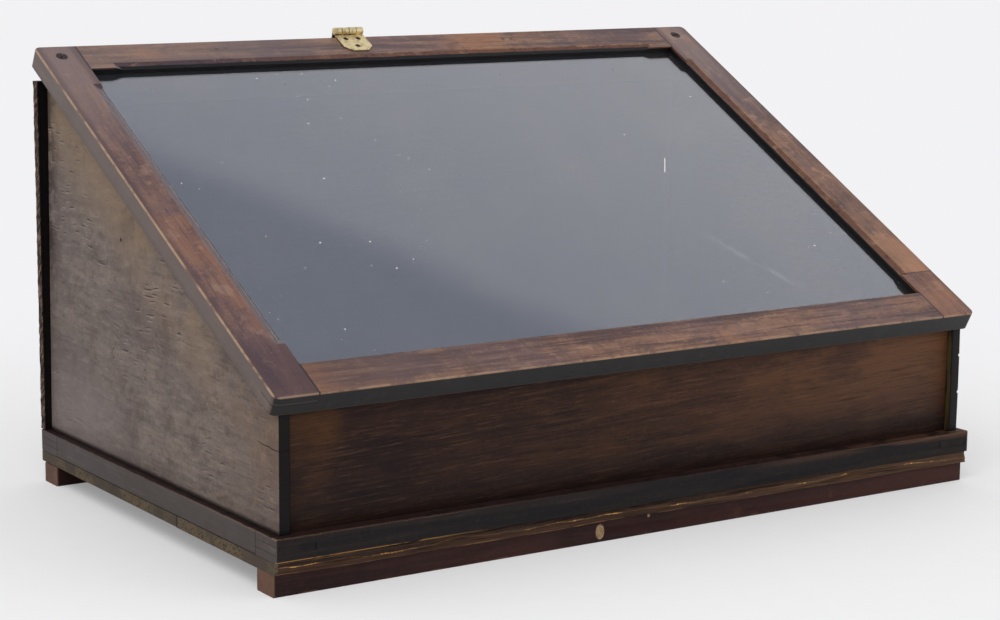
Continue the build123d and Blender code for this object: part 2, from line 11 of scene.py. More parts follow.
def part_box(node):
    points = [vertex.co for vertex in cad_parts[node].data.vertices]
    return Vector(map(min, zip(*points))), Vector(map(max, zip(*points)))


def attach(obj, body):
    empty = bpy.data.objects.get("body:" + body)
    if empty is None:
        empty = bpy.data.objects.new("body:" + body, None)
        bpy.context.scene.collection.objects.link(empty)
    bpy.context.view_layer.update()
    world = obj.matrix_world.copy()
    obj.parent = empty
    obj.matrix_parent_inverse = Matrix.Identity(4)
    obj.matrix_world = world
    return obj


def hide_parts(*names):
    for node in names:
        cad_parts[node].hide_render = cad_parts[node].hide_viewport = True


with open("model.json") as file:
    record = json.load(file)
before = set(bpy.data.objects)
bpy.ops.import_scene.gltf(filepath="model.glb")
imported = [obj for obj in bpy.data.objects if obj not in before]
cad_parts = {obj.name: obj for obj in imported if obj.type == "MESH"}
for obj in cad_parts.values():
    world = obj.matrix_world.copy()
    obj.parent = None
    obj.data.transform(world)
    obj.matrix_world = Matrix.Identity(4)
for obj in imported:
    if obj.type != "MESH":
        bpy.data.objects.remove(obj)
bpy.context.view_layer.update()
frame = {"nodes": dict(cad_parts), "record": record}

bl_info = {
    "name": "Slant-front display case",
    "version": (1, 0, 0),
    "blender": (4, 5, 0),
    "location": "3D View > Sidebar > Display case",
    "description": "Dresses the packed display case with worn wood, old glass and aged brass",
    "category": "Object",
}

MM = 0.001
QUARTER_TURN = math.radians(90)
HALF_TURN = math.radians(180)


def span(node):
    """The lowest and highest corners of a CAD node."""
    low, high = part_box(node)
    return Vector(low), Vector(high)


# The corners that patterns and fixings are placed from
panel_low, panel_high = span("front_panel")
left_low, left_high = span("left_side_panel")
right_low = span("right_side_panel")[0]
back_low, back_high = span("back_panel")
strip_low, strip_high = span("base_strip_front")
board_low, board_high = span("bottom_board_front")
batten_low, batten_high = span("foot_batten_front")
base_half_width = -span("base_strip_left")[0].x

# The lid: its sizes, the middle of its front top edge, and its own directions
SLOPE = math.radians(28.0)
LID_WIDTH = 600.0 * MM
LID_LENGTH = 418.0 * MM
LID_THICKNESS = 14.5 * MM
OPENING_X = LID_WIDTH / 2 - 32.5 * MM
OPENING_LOW = 32.0 * MM
OPENING_HIGH = LID_LENGTH - 32.0 * MM
LID_ORIGIN = Vector((0.0, -188.9015 * MM, 130.8 * MM))
UP_SLOPE = Vector((0.0, math.cos(SLOPE), math.sin(SLOPE)))
OFF_LID = Vector((0.0, -math.sin(SLOPE), math.cos(SLOPE)))

# The hinge: its middle, its pin's place up the slope, the width of a knuckle and the leaf's thickness
HINGE_MIDDLE = -33.0 * MM
HINGE_UP = 422.0 * MM
KNUCKLE = 6.35 * MM
LEAF_THICKNESS = 1.2 * MM

# Screws and nails. The lid leaf's screws: mm across and down from the middle of the pin, and the slot's turn
LEAF_SCREWS = ((-5.6, 8.6, 0.5), (5.6, 8.6, 1.7), (0.0, 19.3, 2.6))
LEAF_SCREW_RADIUS = 2.2 * MM
CORNER_SCREW_X = 283.0 * MM
CORNER_SCREW_UP = 404.0 * MM
BATTEN_NAIL_SHARES = (-0.88, -0.3, 0.3, 0.88)
BACK_NAIL_X = 289.0 * MM
BACK_NAIL_SHARES = (0.1, 0.36, 0.62)
TOP_NAIL_X = 285.0 * MM
TOP_NAIL_SHARES = (-0.75, -0.35, 0.35, 0.75)
TOP_NAIL_DROP = 10.0 * MM

# Edges: the angle from which one is eased, the one from which it is shaded sharp, and the shortest long edge
EASED_ANGLE = math.radians(30)
SHARP_ANGLE = math.radians(35)
LONG_EDGE = 60.0 * MM

# The stage: half the floor's width, the paper that the camera sees, and the backdrop that glass and metal
# mirror, from low down to overhead
FLOOR_REACH = 14.0
PAPER = (242, 242, 244)
LOW_BACKDROP = (250, 250, 255)
FAR_BACKDROP = (232, 233, 243)
OVERHEAD = (196, 200, 214)


def on_lid(across, up, off):
    """A point given in the lid's own directions."""
    return LID_ORIGIN + Vector((across, 0.0, 0.0)) + UP_SLOPE * up + OFF_LID * off


def tone(red, green, blue):
    """A colour as it shows on a screen, 0 to 255, turned into the value that a shader takes."""
    values = []
    for channel in (red, green, blue):
        share = channel / 255.0
        values.append(share / 12.92 if share <= 0.04045 else ((share + 0.055) / 1.055) ** 2.4)
    return (*values, 1.0)


def rgb(values):
    """A setting's colour as a shader takes it."""
    return (*values, 1.0)


def colour_setting(name, description, *screen_colour):
    """A colour that a user would change."""
    return FloatVectorProperty(
        name=name, description=description, default=tone(*screen_colour)[:3], subtype="COLOR", size=3,
        min=0.0, max=1.0,
    )


def length_setting(name, description, value, **limits):
    """A length that a user would change."""
    return FloatProperty(name=name, description=description, default=value * MM, unit="LENGTH", **limits)


class DisplayCaseWoods(bpy.types.PropertyGroup):
    lid: colour_setting("Lid", "Main colour of the lid's frame", 116, 80, 64)
    sides: colour_setting("Sides", "Main colour of the side panels", 112, 100, 94)
    front: colour_setting("Front", "Main colour of the front panel", 46, 30, 25)
    strips: colour_setting("Strips", "Main colour of the base strips", 28, 26, 28)
    boards: colour_setting("Boards", "Main colour of the bottom boards", 44, 34, 30)
    battens: colour_setting("Battens", "Main colour of the foot battens", 38, 22, 22)
    bare: colour_setting("Bare wood", "Colour where the finish has worn off", 178, 148, 120)
    figure: FloatProperty(
        name="Figure", description="Strength of the grain's colour", default=1.0, min=0.0, max=2.0
    )
    relief: length_setting("Relief", "Depth of the grain in the surface", 0.25)


class DisplayCaseWear(bpy.types.PropertyGroup):
    arris: length_setting("Arris wear", "Width of the worn edges", 0.7, min=0.1 * MM)
    tear: length_setting("Torn edge", "Depth of the torn edge of the front board", 3.0)
    fibre: length_setting("Fibre", "Depth of the loose fibres in the torn edge", 1.1)
    seed: IntProperty(name="Seed", description="Which random pattern the torn edge has", default=4, min=0)


class DisplayCaseMetal(bpy.types.PropertyGroup):
    brass: colour_setting("Brass", "Colour of the brass where it is clean", 232, 212, 160)
    patina: colour_setting("Patina", "Colour of the dull film on the brass", 120, 92, 58)
    iron: colour_setting("Iron", "Colour of the screws and nails", 52, 42, 38)
    corner_head: length_setting("Corner screw head", "Radius of the corner screw heads", 4.5)
    hinge_head: length_setting("Hinge screw head", "Radius of the hinge screw heads", 2.2)
    nail_head: length_setting("Nail head", "Radius of the nail heads", 1.7)


class DisplayCaseGlass(bpy.types.PropertyGroup):
    film: colour_setting("Dust film", "Colour of the dust film on the glass", 196, 204, 220)
    clear: FloatProperty(
        name="Clear share", description="Share of the light that passes the dust film", default=0.98,
        subtype="FACTOR",
    )


class Graph:
    """A node tree, and short names for building it. Three values in brackets stand for a ramp."""

    def __init__(self, tree):
        self.tree = tree
        tree.nodes.clear()

    def put(self, socket, value):
        """Links a socket to another node, or sets its value."""
        if isinstance(value, bpy.types.NodeSocket):
            self.tree.links.new(value, socket)
        else:
            socket.default_value = value

    def add(self, kind, inputs=None, **settings):
        """A node with its settings and inputs, which are named or numbered. A short kind is a shader's."""
        node = self.tree.nodes.new(kind if "Node" in kind else "ShaderNode" + kind)
        for key, value in settings.items():
            setattr(node, key, value)
        for key, value in (inputs or {}).items():
            self.put(node.inputs[key], value)
        return node

    def calc(self, operation, *values):
        """One step of arithmetic."""
        return self.add("Math", dict(enumerate(values)), operation=operation).outputs[0]

    def ramp(self, value, low, high, shape="SMOOTHSTEP"):
        """0 at low, 1 at high, and smooth between them."""
        inputs = {0: value, 1: low, 2: high, 3: 0.0, 4: 1.0}
        return self.add("MapRange", inputs, interpolation_type=shape).outputs[0]

    def chain(self, operation, values):
        """The same step of arithmetic over a row of values."""
        values = [self.ramp(*value) if isinstance(value, tuple) else value for value in values]
        return reduce(lambda first, second: self.calc(operation, first, second), values)

    def product(self, *values):
        """Several masks multiplied together."""
        return self.chain("MULTIPLY", values)

    def most(self, *values):
        """The strongest of several masks."""
        return self.chain("MAXIMUM", values)

    def plus(self, *values):
        """Several values added up."""
        return self.chain("ADD", values)

    def minus(self, first, second):
        """One value less another."""
        return self.chain("SUBTRACT", (first, second))

    def blend(self, share, first, second):
        """Two colours mixed. Three numbers stand for a colour on the screen."""
        first, second = (tone(*c) if isinstance(c, tuple) and len(c) == 3 else c for c in (first, second))
        return self.add("Mix", {0: share, 6: first, 7: second}, data_type="RGBA").outputs[2]

    def lay(self, colour, *layers):
        """A colour with others laid over it, each with its strength and the masks that limit it."""
        for over, strength, *masks in layers:
            colour = self.blend(self.product(*masks, strength), colour, over)
        return colour

    def scaled(self, vector, *factors):
        """A vector stretched along its axes."""
        return self.add("VectorMath", {0: vector, 1: factors}, operation="MULTIPLY").outputs[0]

    def shifted(self, vector, distances):
        """A vector moved along."""
        return self.add("VectorMath", {0: vector, 1: distances}, operation="ADD").outputs[0]

    def split(self, vector):
        """The three parts of a vector."""
        return self.add("SeparateXYZ", {0: vector}).outputs[0:3]

    def seen(self):
        """1 for what the camera, glass and shiny metal see, and 0 for rays that only carry light."""
        path = self.add("LightPath")
        kinds = ("Is Camera Ray", "Is Glossy Ray", "Is Transmission Ray")
        return self.most(*(path.outputs[kind] for kind in kinds))


class Finish(Graph):
    """One material, and short names for its patterns and masks."""

    def __init__(self, name):
        self.material = bpy.data.materials.new(name)
        self.material.use_nodes = True
        super().__init__(self.material.node_tree)
        self.shader = self.add("BsdfPrincipled")
        self.surface = self.add("OutputMaterial", {"Surface": self.shader.outputs[0]}).inputs["Surface"]
        self.point = self.add("TexCoord").outputs["Object"]

    def band(self, value, low, high, soft=0.3 * MM):
        """1 between two values and 0 outside them."""
        return self.product((value, low - soft, low + soft), (value, high + soft, high - soft))

    def noise(self, vector, scale=1.0, detail=4.0, roughness=0.55, distortion=0.0):
        """Soft random variation from 0 to 1, its middle near 0.5. Its scale may differ by axis."""
        if isinstance(scale, tuple):
            vector, scale = self.scaled(vector, *scale), 1.0
        inputs = {"Vector": vector, "Scale": scale, "Detail": detail, "Roughness": roughness}
        return self.add("TexNoise", {**inputs, "Distortion": distortion}).outputs[0]

    def spots(self, vector, scale, reach):
        """Small scattered dots."""
        node = self.add("TexVoronoi", {"Vector": vector, "Scale": scale, "Randomness": 1.0})
        return self.ramp(node.outputs["Distance"], reach, reach * 0.6)

    def distance(self, aside, away):
        """The length of two parts at right angles."""
        return self.calc("SQRT", self.plus(self.product(aside, aside), self.product(away, away)))

    def near(self, first, at, second, other, reach):
        """1 along a line where two coordinates have their given values, fading out at a distance."""
        return self.ramp(self.distance(self.minus(first, at), self.minus(second, other)), reach, reach * 0.35)

    def off_line(self, first, at, second, other, steepness):
        """How far the second coordinate is off a slanting line through a point."""
        return self.minus(self.minus(second, other), self.product(self.minus(first, at), steepness))

    def close(self, colour, rough, height, relief, metal=0.0, strength=0.8):
        """Joins colour, roughness and relief to the shader."""
        bump = self.add("Bump", {"Height": height, "Distance": relief, "Strength": strength})
        values = {"Base Color": colour, "Roughness": rough, "Metallic": metal, "Normal": bump.outputs[0]}
        for name, value in values.items():
            self.put(self.shader.inputs[name], value)
        return self.material


class Wood(Finish):
    """Old wood: fibres, wider figure, blotches of stain, pores and dirt, all along one axis."""

    def __init__(self, name, context, along, base, dark, light, place=None, seed=0.0, figure=0.3, fibre=0.3):
        super().__init__(name)
        settings = context.scene.display_case_woods
        if isinstance(base, str):
            base = rgb(getattr(settings, base))
        self.place = place(self) if place else self.point
        self.x, self.y, self.z = self.split(self.place)
        self.moved = self.shifted(self.place, (seed * 0.37, seed * 0.53, seed * 0.71))
        fine, wide, pore = [460.0] * 3, [95.0] * 3, [800.0] * 3
        fine[along], wide[along], pore[along] = 26.0, 5.0, 70.0
        self.fibre = self.noise(self.moved, tuple(fine), 3.0, 0.6)
        self.figure = self.noise(self.moved, tuple(wide), 5.0, 0.6, 0.5)
        self.pores = self.ramp(self.noise(self.moved, tuple(pore), 2.0), 0.66, 0.74)
        self.stain = self.noise(self.moved, 11.0, 5.0, 0.6)
        self.grime = self.noise(self.moved, 60.0, 5.0, 0.7)
        self.speck = self.noise(self.moved, 300.0, 3.0, 0.7)
        share = fibre * settings.figure
        self.colour = self.lay(
            base,
            (self.blend(self.ramp(self.figure, 0.36, 0.66), dark, light), figure * settings.figure),
            (dark, share, (self.fibre, 0.46, 0.3)),
            (light, share, (self.fibre, 0.56, 0.74)),
            (dark, share, (self.speck, 0.46, 0.3)),
            (light, share * 0.8, (self.speck, 0.54, 0.7)),
            (dark, 0.4, self.pores),
        )
        self.relief = settings.relief
        figured = self.plus(self.product(self.fibre, 0.55), self.product(self.figure, 0.45))
        self.height = self.minus(figured, self.product(self.pores, 0.5))
        self.roughen(0.3, 0.42)

    def paint(self, *layers):
        """Lays further colours over the wood."""
        self.colour = self.lay(self.colour, *layers)

    def raised(self, mask, amount=1.0):
        """Raises the relief by a mask, or lowers it where the amount is below zero."""
        self.height = self.plus(self.height, self.product(mask, amount))

    def roughen(self, by_grime, least):
        """A roughness that grows with the grime."""
        self.rough = self.plus(self.product(self.grime, by_grime), least)

    def veined(self):
        """A patchy mask of about a third of the surface."""
        return self.ramp(self.noise(self.moved, 24.0, 6.0, 0.7), 0.53, 0.63)

    def done(self, gloss=0.4):
        """The finished material."""
        self.shader.inputs["Specular IOR Level"].default_value = gloss
        return self.close(self.colour, self.rough, self.height, self.relief)


def lid_place(finish):
    """The lid's own coordinates: across, up the slope, and off its top face."""
    turn = Euler((-SLOPE, 0.0, 0.0))
    back = -(turn.to_matrix() @ LID_ORIGIN)
    inputs = {"Vector": finish.point, "Location": back, "Rotation": turn}
    return finish.add("Mapping", inputs, vector_type="POINT").outputs[0]


def lid_wood(name, context, along, seed, redder=0.0):
    """Stained and much handled wood of the lid, with bare arrises, a dark front edge and a black rebate."""
    stile = along == 1
    wood = Wood(name, context, along, "lid", (60, 40, 40), (156, 118, 92), lid_place, seed, 0.45, 0.5)
    across, up, off = wood.calc("ABSOLUTE", wood.x), wood.y, wood.z
    deep = wood.product(off, -1.0)
    half = LID_WIDTH / 2
    patchy = wood.ramp(wood.grime, 0.36, 0.56)
    broad = wood.noise(wood.moved, 7.0, 4.0, 0.6)
    left = wood.ramp(wood.x, -0.05, -0.2)
    right = wood.ramp(wood.x, 0.05, 0.2)
    outer = wood.most(
        wood.near(across, half, off, 0.0, 1.6 * MM),
        wood.product(wood.near(up, 0.0, off, 0.0, 1.5 * MM), 0.55),
        wood.near(up, LID_LENGTH, off, 0.0, 1.3 * MM),
    )
    inside = wood.product(
        (across, OPENING_X + 9.0 * MM, OPENING_X + 8.4 * MM),
        wood.band(up, OPENING_LOW - 8.5 * MM, OPENING_HIGH + 8.5 * MM),
    )
    brink = wood.minus(deep, wood.product(wood.noise(wood.point, 38.0, 3.0, 0.6), 0.9 * MM))
    black_from = (1.55 if stile else 0.8) * MM
    wall = wood.product(inside, (brink, black_from, black_from + 0.2 * MM))
    chamfer = wood.product(inside, (deep, 0.1 * MM, 0.25 * MM))
    rim = wood.product(inside, right, wood.band(deep, 0.06 * MM, 0.42 * MM, 0.1 * MM))
    low_rim = wood.product(inside, wood.band(brink, black_from - 0.25 * MM, black_from, 0.1 * MM))
    edge_face = wood.product(wood.minus(1.0, inside), (deep, 1.1 * MM, 1.5 * MM))
    front = wood.product(edge_face, (up, 7.0 * MM, 3.0 * MM), (across, half - 0.4 * MM, half - 1.4 * MM))
    below = wood.ramp(deep, LID_THICKNESS - 0.5 * MM, LID_THICKNESS - 0.2 * MM)
    corner = wood.product(
        wood.band(across, OPENING_X - 0.6 * MM, OPENING_X + 0.6 * MM, 0.15 * MM),
        wood.most((up, OPENING_LOW + 0.2 * MM, OPENING_LOW), (up, OPENING_HIGH - 0.2 * MM, OPENING_HIGH)),
    )
    scarf = wood.product(
        wood.band(up, 54.6 * MM, 55.5 * MM, 0.15 * MM), (wood.x, OPENING_X, OPENING_X + 0.5 * MM)
    )
    left_end = wood.product(edge_face, (wood.x, -0.267, -0.269))
    tick = wood.product(left_end, wood.band(deep, 6.9 * MM, 7.6 * MM, 0.15 * MM), (up, 17.0 * MM, 16.0 * MM))
    layer = wood.product(left_end, wood.band(deep, 5.6 * MM, 6.6 * MM, 0.3 * MM), (up, 5.0 * MM, 3.0 * MM))
    wood.paint(
        ((90, 68, 72), 0.55, (wood.stain, 0.44, 0.58)),
        ((152, 102, 68), 0.65, (broad, 0.51, 0.62)),
        ((74, 54, 60), 0.65, (broad, 0.47, 0.36)),
        ((62, 44, 46), 0.5, wood.veined()),
        ((172, 140, 116), 0.5 if stile else 0.22, (wood.grime, 0.55, 0.66)),
        ((62, 44, 44), 0.6 if stile else 0.35, (wood.grime, 0.46, 0.36)),
        ((60, 42, 44), 0.5, (wood.figure, 0.5, 0.38)),
        ((156, 124, 102), 0.3, (wood.fibre, 0.54, 0.68)),
        ((58, 40, 40), 0.4, (wood.fibre, 0.46, 0.32)),
        ((190, 160, 134), 0.4 if stile else 0.2, (wood.speck, 0.6, 0.7)),
    )
    if stile:
        off_middle = wood.calc("ABSOLUTE", wood.minus(across, half - 16.0 * MM))
        wood.paint(
            ((84, 62, 70), 0.35, left),
            ((62, 42, 50), 0.7, (up, 0.09, 0.02), left),
            # painted reflection: a grey-lilac sheen laid over the upper part of the stiles
            ((134, 116, 112), 0.55, (up, 0.25, 0.38)),
            ((76, 54, 54), 0.55, (off_middle, 8.0 * MM, 15.0 * MM)),
            ((166, 118, 84), 0.6, right, (up, 0.3, 0.08), (wood.stain, 0.4, 0.6)),
        )
    else:
        wood.paint(
            ((96, 76, 72), 0.5, left, (wood.stain, 0.4, 0.6)),
            ((84, 58, 52), 0.4, (wood.x, -0.17, -0.26), (up, 0.2, 0.1)),
            # painted reflection: a grey sheen laid over the left part of the top rail
            ((122, 108, 106), 0.35, (up, 0.3, 0.39), (wood.x, 0.1, -0.2)),
        )
    wood.paint(
        ((120, 78, 66), redder),
        (rgb(context.scene.display_case_woods.bare), 1.0, outer, wood.plus(wood.product(patchy, 0.6), 0.2)),
        (wood.blend(left, (96, 62, 46), (64, 48, 56)), 0.85, chamfer),
        ((40, 28, 30), 0.6, chamfer, (wood.speck, 0.48, 0.34)),
        ((150, 116, 96), 0.5, chamfer, (wood.grime, 0.56, 0.68)),
        ((170, 130, 98), 0.6, rim, patchy),
        ((90, 78, 71), 0.75, edge_face),
        ((74, 62, 56), 0.4, edge_face, (deep, 9.0 * MM, 13.0 * MM)),
        ((62, 46, 40), 0.6, edge_face, (up, LID_LENGTH - 6.0 * MM, LID_LENGTH - 2.0 * MM)),
        ((16, 15, 16), 0.96, front),
        ((60, 54, 54), 0.3, front, (wood.grime, 0.56, 0.7)),
        ((60, 44, 34), 0.75, below),
        ((10, 9, 9), 0.98, wall),
        ((160, 122, 92), float(stile), low_rim, wood.plus(wood.product(left, 0.35), 0.3), patchy),
        ((24, 16, 15), 0.9, corner),
        ((34, 22, 20), 0.85, scarf),
        ((84, 70, 64), 0.35, layer),
        ((8, 6, 6), 0.9, tick),
    )
    wood.roughen(0.35, 0.24)
    wood.rough = wood.minus(wood.rough, wood.product(chamfer, left, 0.2))
    return wood.done(0.29)


def glass_material(context):
    """Old sheet glass: a bright, slightly rippled face with a thin film of dust, specks and one scratch."""
    settings = context.scene.display_case_glass
    glass = Finish("Dusty glass")
    across, up = glass.split(lid_place(glass))[:2]
    cloud = glass.noise(glass.point, 9.0, 4.0, 0.6)
    drift = glass.noise(glass.point, 7.0, 3.0)
    specks = [
        glass.product(glass.spots(glass.point, scale, reach), (drift, low, high), strength)
        for scale, reach, low, high, strength in (
            (60.0, 0.05, 0.48, 0.52, 0.8),
            (120.0, 0.06, 0.52, 0.58, 0.48),
            (170.0, 0.055, 0.44, 0.56, 0.4),
        )
    ]
    scratch = glass.product(
        glass.band(glass.off_line(across, 149.5 * MM, up, 215.4 * MM, 1.5164), -0.7 * MM, 0.7 * MM),
        glass.band(across, 149.5 * MM, 161.7 * MM, 0.6 * MM),
    )
    smear = glass.product(
        glass.band(glass.off_line(across, 131.4 * MM, up, 134.6 * MM, -1.78), -6.0 * MM, 6.0 * MM, 6.0 * MM),
        glass.band(across, 130.0 * MM, 172.0 * MM, 8.0 * MM),
        (glass.noise(glass.point, 60.0, 4.0), 0.4, 0.6),
        0.09,
    )
    marked = glass.most(*specks, scratch, smear)
    colour = glass.lay(
        rgb(settings.film), ((222, 224, 228), 0.5, (cloud, 0.4, 0.7)), ((236, 228, 216), 1.0, marked)
    )
    rough = glass.plus(glass.product(cloud, 0.03), glass.product(marked, 0.4))
    ripple = glass.noise(glass.point, (5.0, 8.0, 8.0), 1.0)
    glass.close(colour, rough, ripple, 0.4 * MM, strength=0.12)
    glass.shader.inputs["IOR"].default_value = 2.2
    clear = glass.minus(settings.clear, glass.product(marked, settings.clear))
    glass.put(glass.shader.inputs["Transmission Weight"], clear)
    return glass.material


def side_wood(name, context, seed, left):
    """Grey-brown, sun-bleached wood of the side panels: many short checks, and a black front edge."""
    wood = Wood(name, context, 1, "sides", (70, 58, 54), (152, 136, 124), seed=seed, figure=0.2, fibre=0.35)
    below_lid = wood.off_line(wood.y, LID_ORIGIN.y, wood.z, 0.0, math.tan(SLOPE))
    front_end = wood.ramp(wood.y, left_low.y + 110.0 * MM, left_low.y + 20.0 * MM)
    bent = wood.add("TexNoise", {"Vector": wood.moved, "Scale": 22.0, "Detail": 1.0}).outputs["Color"]
    bent_place = wood.shifted(wood.moved, wood.scaled(bent, 0.0, 0.0, 0.008))
    ridge_place = wood.shifted(bent_place, (0.0, 0.0, 1.2 * MM))
    check_field, ridge_field = (
        wood.noise(place, (40.0, 48.0, 640.0), 1.0, 0.5) for place in (bent_place, ridge_place)
    )
    rare = wood.ramp(wood.noise(wood.moved, 16.0, 3.0, 0.6), 0.51, 0.61)
    checks = wood.product((check_field, 0.66, 0.71), rare)
    felt = wood.noise(bent_place, (90.0, 52.0, 170.0), 6.0, 0.75)
    inner = wood.ramp(wood.calc("ABSOLUTE", wood.x), right_low.x + 1.2 * MM, right_low.x + 0.6 * MM)
    wood.paint(
        ((98, 86, 84), 0.5, (wood.stain, 0.46, 0.6)),
        ((140, 127, 118), 0.45, (felt, 0.52, 0.64)),
        ((80, 68, 64), 0.5, (felt, 0.48, 0.36)),
        ((140, 116, 90), 0.6, (below_lid, 0.03, 0.11), (wood.stain, 0.38, 0.54)),
        ((92, 76, 72), 0.35, front_end),
        ((138, 114, 90), 0.5, front_end, (wood.grime, 0.52, 0.64)),
        ((84, 68, 62), 0.4, wood.veined()),
        (
            (44, 32, 30), 0.8, (wood.y, left_high.y - 30.0 * MM, left_high.y - 4.0 * MM), (wood.z, 0.1, 0.2),
            (wood.grime, 0.4, 0.56),
        ),
        # painted shadow: a dark line on the side panel just below the lid's edge
        ((40, 31, 27), 0.7, (below_lid, 0.1105, 0.1145)),
        ((156, 142, 130), 0.4, (ridge_field, 0.62, 0.7), rare),
        ((44, 35, 34), 0.85, checks),
        ((138, 127, 124), 0.45, (wood.y, 0.02, 0.12), (wood.z, 0.12, 0.06)),
        ((24, 18, 17), 0.8, (wood.z, left_low.z + 4.0 * MM, left_low.z + 1.0 * MM)),
        # painted shade: the inner faces near black, for the dark inside of the case
        ((20, 16, 15), 0.97, inner),
    )
    if left:
        for y, z in ((253.8, 116.9), (202.4, 110.2)):
            wood.paint(*peg_ring(wood, LID_ORIGIN.y + y * MM, z * MM))
        hole = wood.near(wood.y, LID_ORIGIN.y + 238.3 * MM, wood.z, 200.2 * MM, 2.2 * MM)
        crack_line = wood.off_line(wood.y, LID_ORIGIN.y + 36.2 * MM, wood.z, 95.7 * MM, 0.0747)
        wander = wood.product(wood.minus(wood.noise(wood.point, 60.0), 0.5), 5.0 * MM)
        crack = wood.product(
            wood.band(wood.plus(crack_line, wander), -0.35 * MM, 0.35 * MM, 0.2 * MM),
            (wood.y, LID_ORIGIN.y + 42.0 * MM, LID_ORIGIN.y + 30.0 * MM),
        )
        wood.paint(((14, 10, 9), 1.0, hole), ((24, 18, 16), 0.9, crack))
        wood.raised(wood.most(hole, crack), -1.0)
    else:
        ahead = wood.product(
            (wood.y, panel_low.y + 0.1 * MM, panel_low.y - 0.2 * MM),
            (wood.x, right_low.x + 0.5 * MM, right_low.x + 0.2 * MM),
        )
        glue = wood.ramp(wood.noise(wood.point, (200.0, 200.0, 22.0), 3.0), 0.42, 0.56)
        wood.paint(((26, 20, 17), 0.9, ahead), ((72, 58, 32), 0.85, ahead, glue))
    edge_colour = (9, 8, 9) if left else (20, 19, 20)
    wood.paint((edge_colour, 0.97, (wood.y, left_low.y + 0.9 * MM, left_low.y + 0.3 * MM)))
    wood.raised(checks, -1.0)
    wood.raised(felt, 0.6)
    return wood.done(0.11)


def peg_ring(wood, y, z):
    """The thin dark outline of an old peg or knot, taller than it is wide."""
    distance = wood.distance(wood.minus(wood.y, y), wood.product(wood.minus(wood.z, z), 0.55))
    distance = wood.plus(distance, wood.product(wood.minus(wood.grime, 0.5), 1.2 * MM))
    ring = wood.band(distance, 1.7 * MM, 2.2 * MM, 0.2 * MM)
    return ((122, 104, 92), 0.3, (distance, 2.0 * MM, 1.2 * MM)), ((52, 40, 36), 0.75, ring)


def front_wood(context):
    """Dark polished front panel: fine, slightly rising grain, amber in places, darker near its foot."""
    wood = Wood(
        "Front panel wood", context, 0, "front", (22, 14, 14), (84, 54, 34), seed=3.0, figure=0.25, fibre=0.4
    )
    tilted = wood.add("Mapping", {"Vector": wood.moved, "Rotation": (0.0, 0.045, 0.0)}).outputs[0]
    streak = wood.noise(tilted, (15.0, 1.0, 440.0), 5.0, 0.72, 0.3)
    hair = wood.noise(tilted, (38.0, 1.0, 1000.0), 3.0, 0.7, 0.2)
    cloud = wood.noise(wood.moved, (8.0, 1.0, 20.0), 5.0, 0.65)
    high = wood.ramp(wood.z, panel_low.z + 12.0 * MM, panel_high.z - 6.0 * MM)
    right = wood.ramp(wood.x, -0.1, 0.26)
    left_end = wood.ramp(wood.x, panel_low.x + 46.0 * MM, panel_low.x + 30.0 * MM)
    amber = wood.plus(wood.product(high, 0.3), 0.15)
    wood.paint(
        ((72, 47, 32), 0.4, (cloud, 0.5, 0.62)),
        ((28, 19, 20), 0.5, (cloud, 0.48, 0.36)),
        ((30, 21, 23), 0.4, (wood.x, 0.0, -0.16)),
        ((88, 58, 44), 0.45, right, (wood.z, panel_low.z, panel_low.z + 50.0 * MM)),
        ((122, 80, 46), 0.35, right, high, (cloud, 0.48, 0.6)),
        ((90, 58, 28), 1.0, left_end, (cloud, 0.4, 0.56), amber),
        ((86, 60, 44), 0.35, (streak, 0.54, 0.7)),
        ((24, 16, 16), 0.45, (streak, 0.46, 0.32)),
        # painted shade: the panel's inner face near black, for the dark inside of the case
        ((20, 16, 15), 0.97, (wood.y, panel_high.y - 1.2 * MM, panel_high.y - 0.6 * MM)),
        ((106, 74, 50), 0.35, (hair, 0.56, 0.7)),
        ((20, 13, 13), 0.4, (hair, 0.44, 0.34)),
        ((24, 18, 18), 0.5, (wood.z, panel_low.z + 34.0 * MM, panel_low.z)),
        # painted shadow: the top of the panel darker under the lid's overhang
        ((20, 14, 13), 0.6, (wood.z, panel_high.z - 7.0 * MM, panel_high.z)),
    )
    wood.roughen(0.25, 0.3)
    return wood.done(0.1)


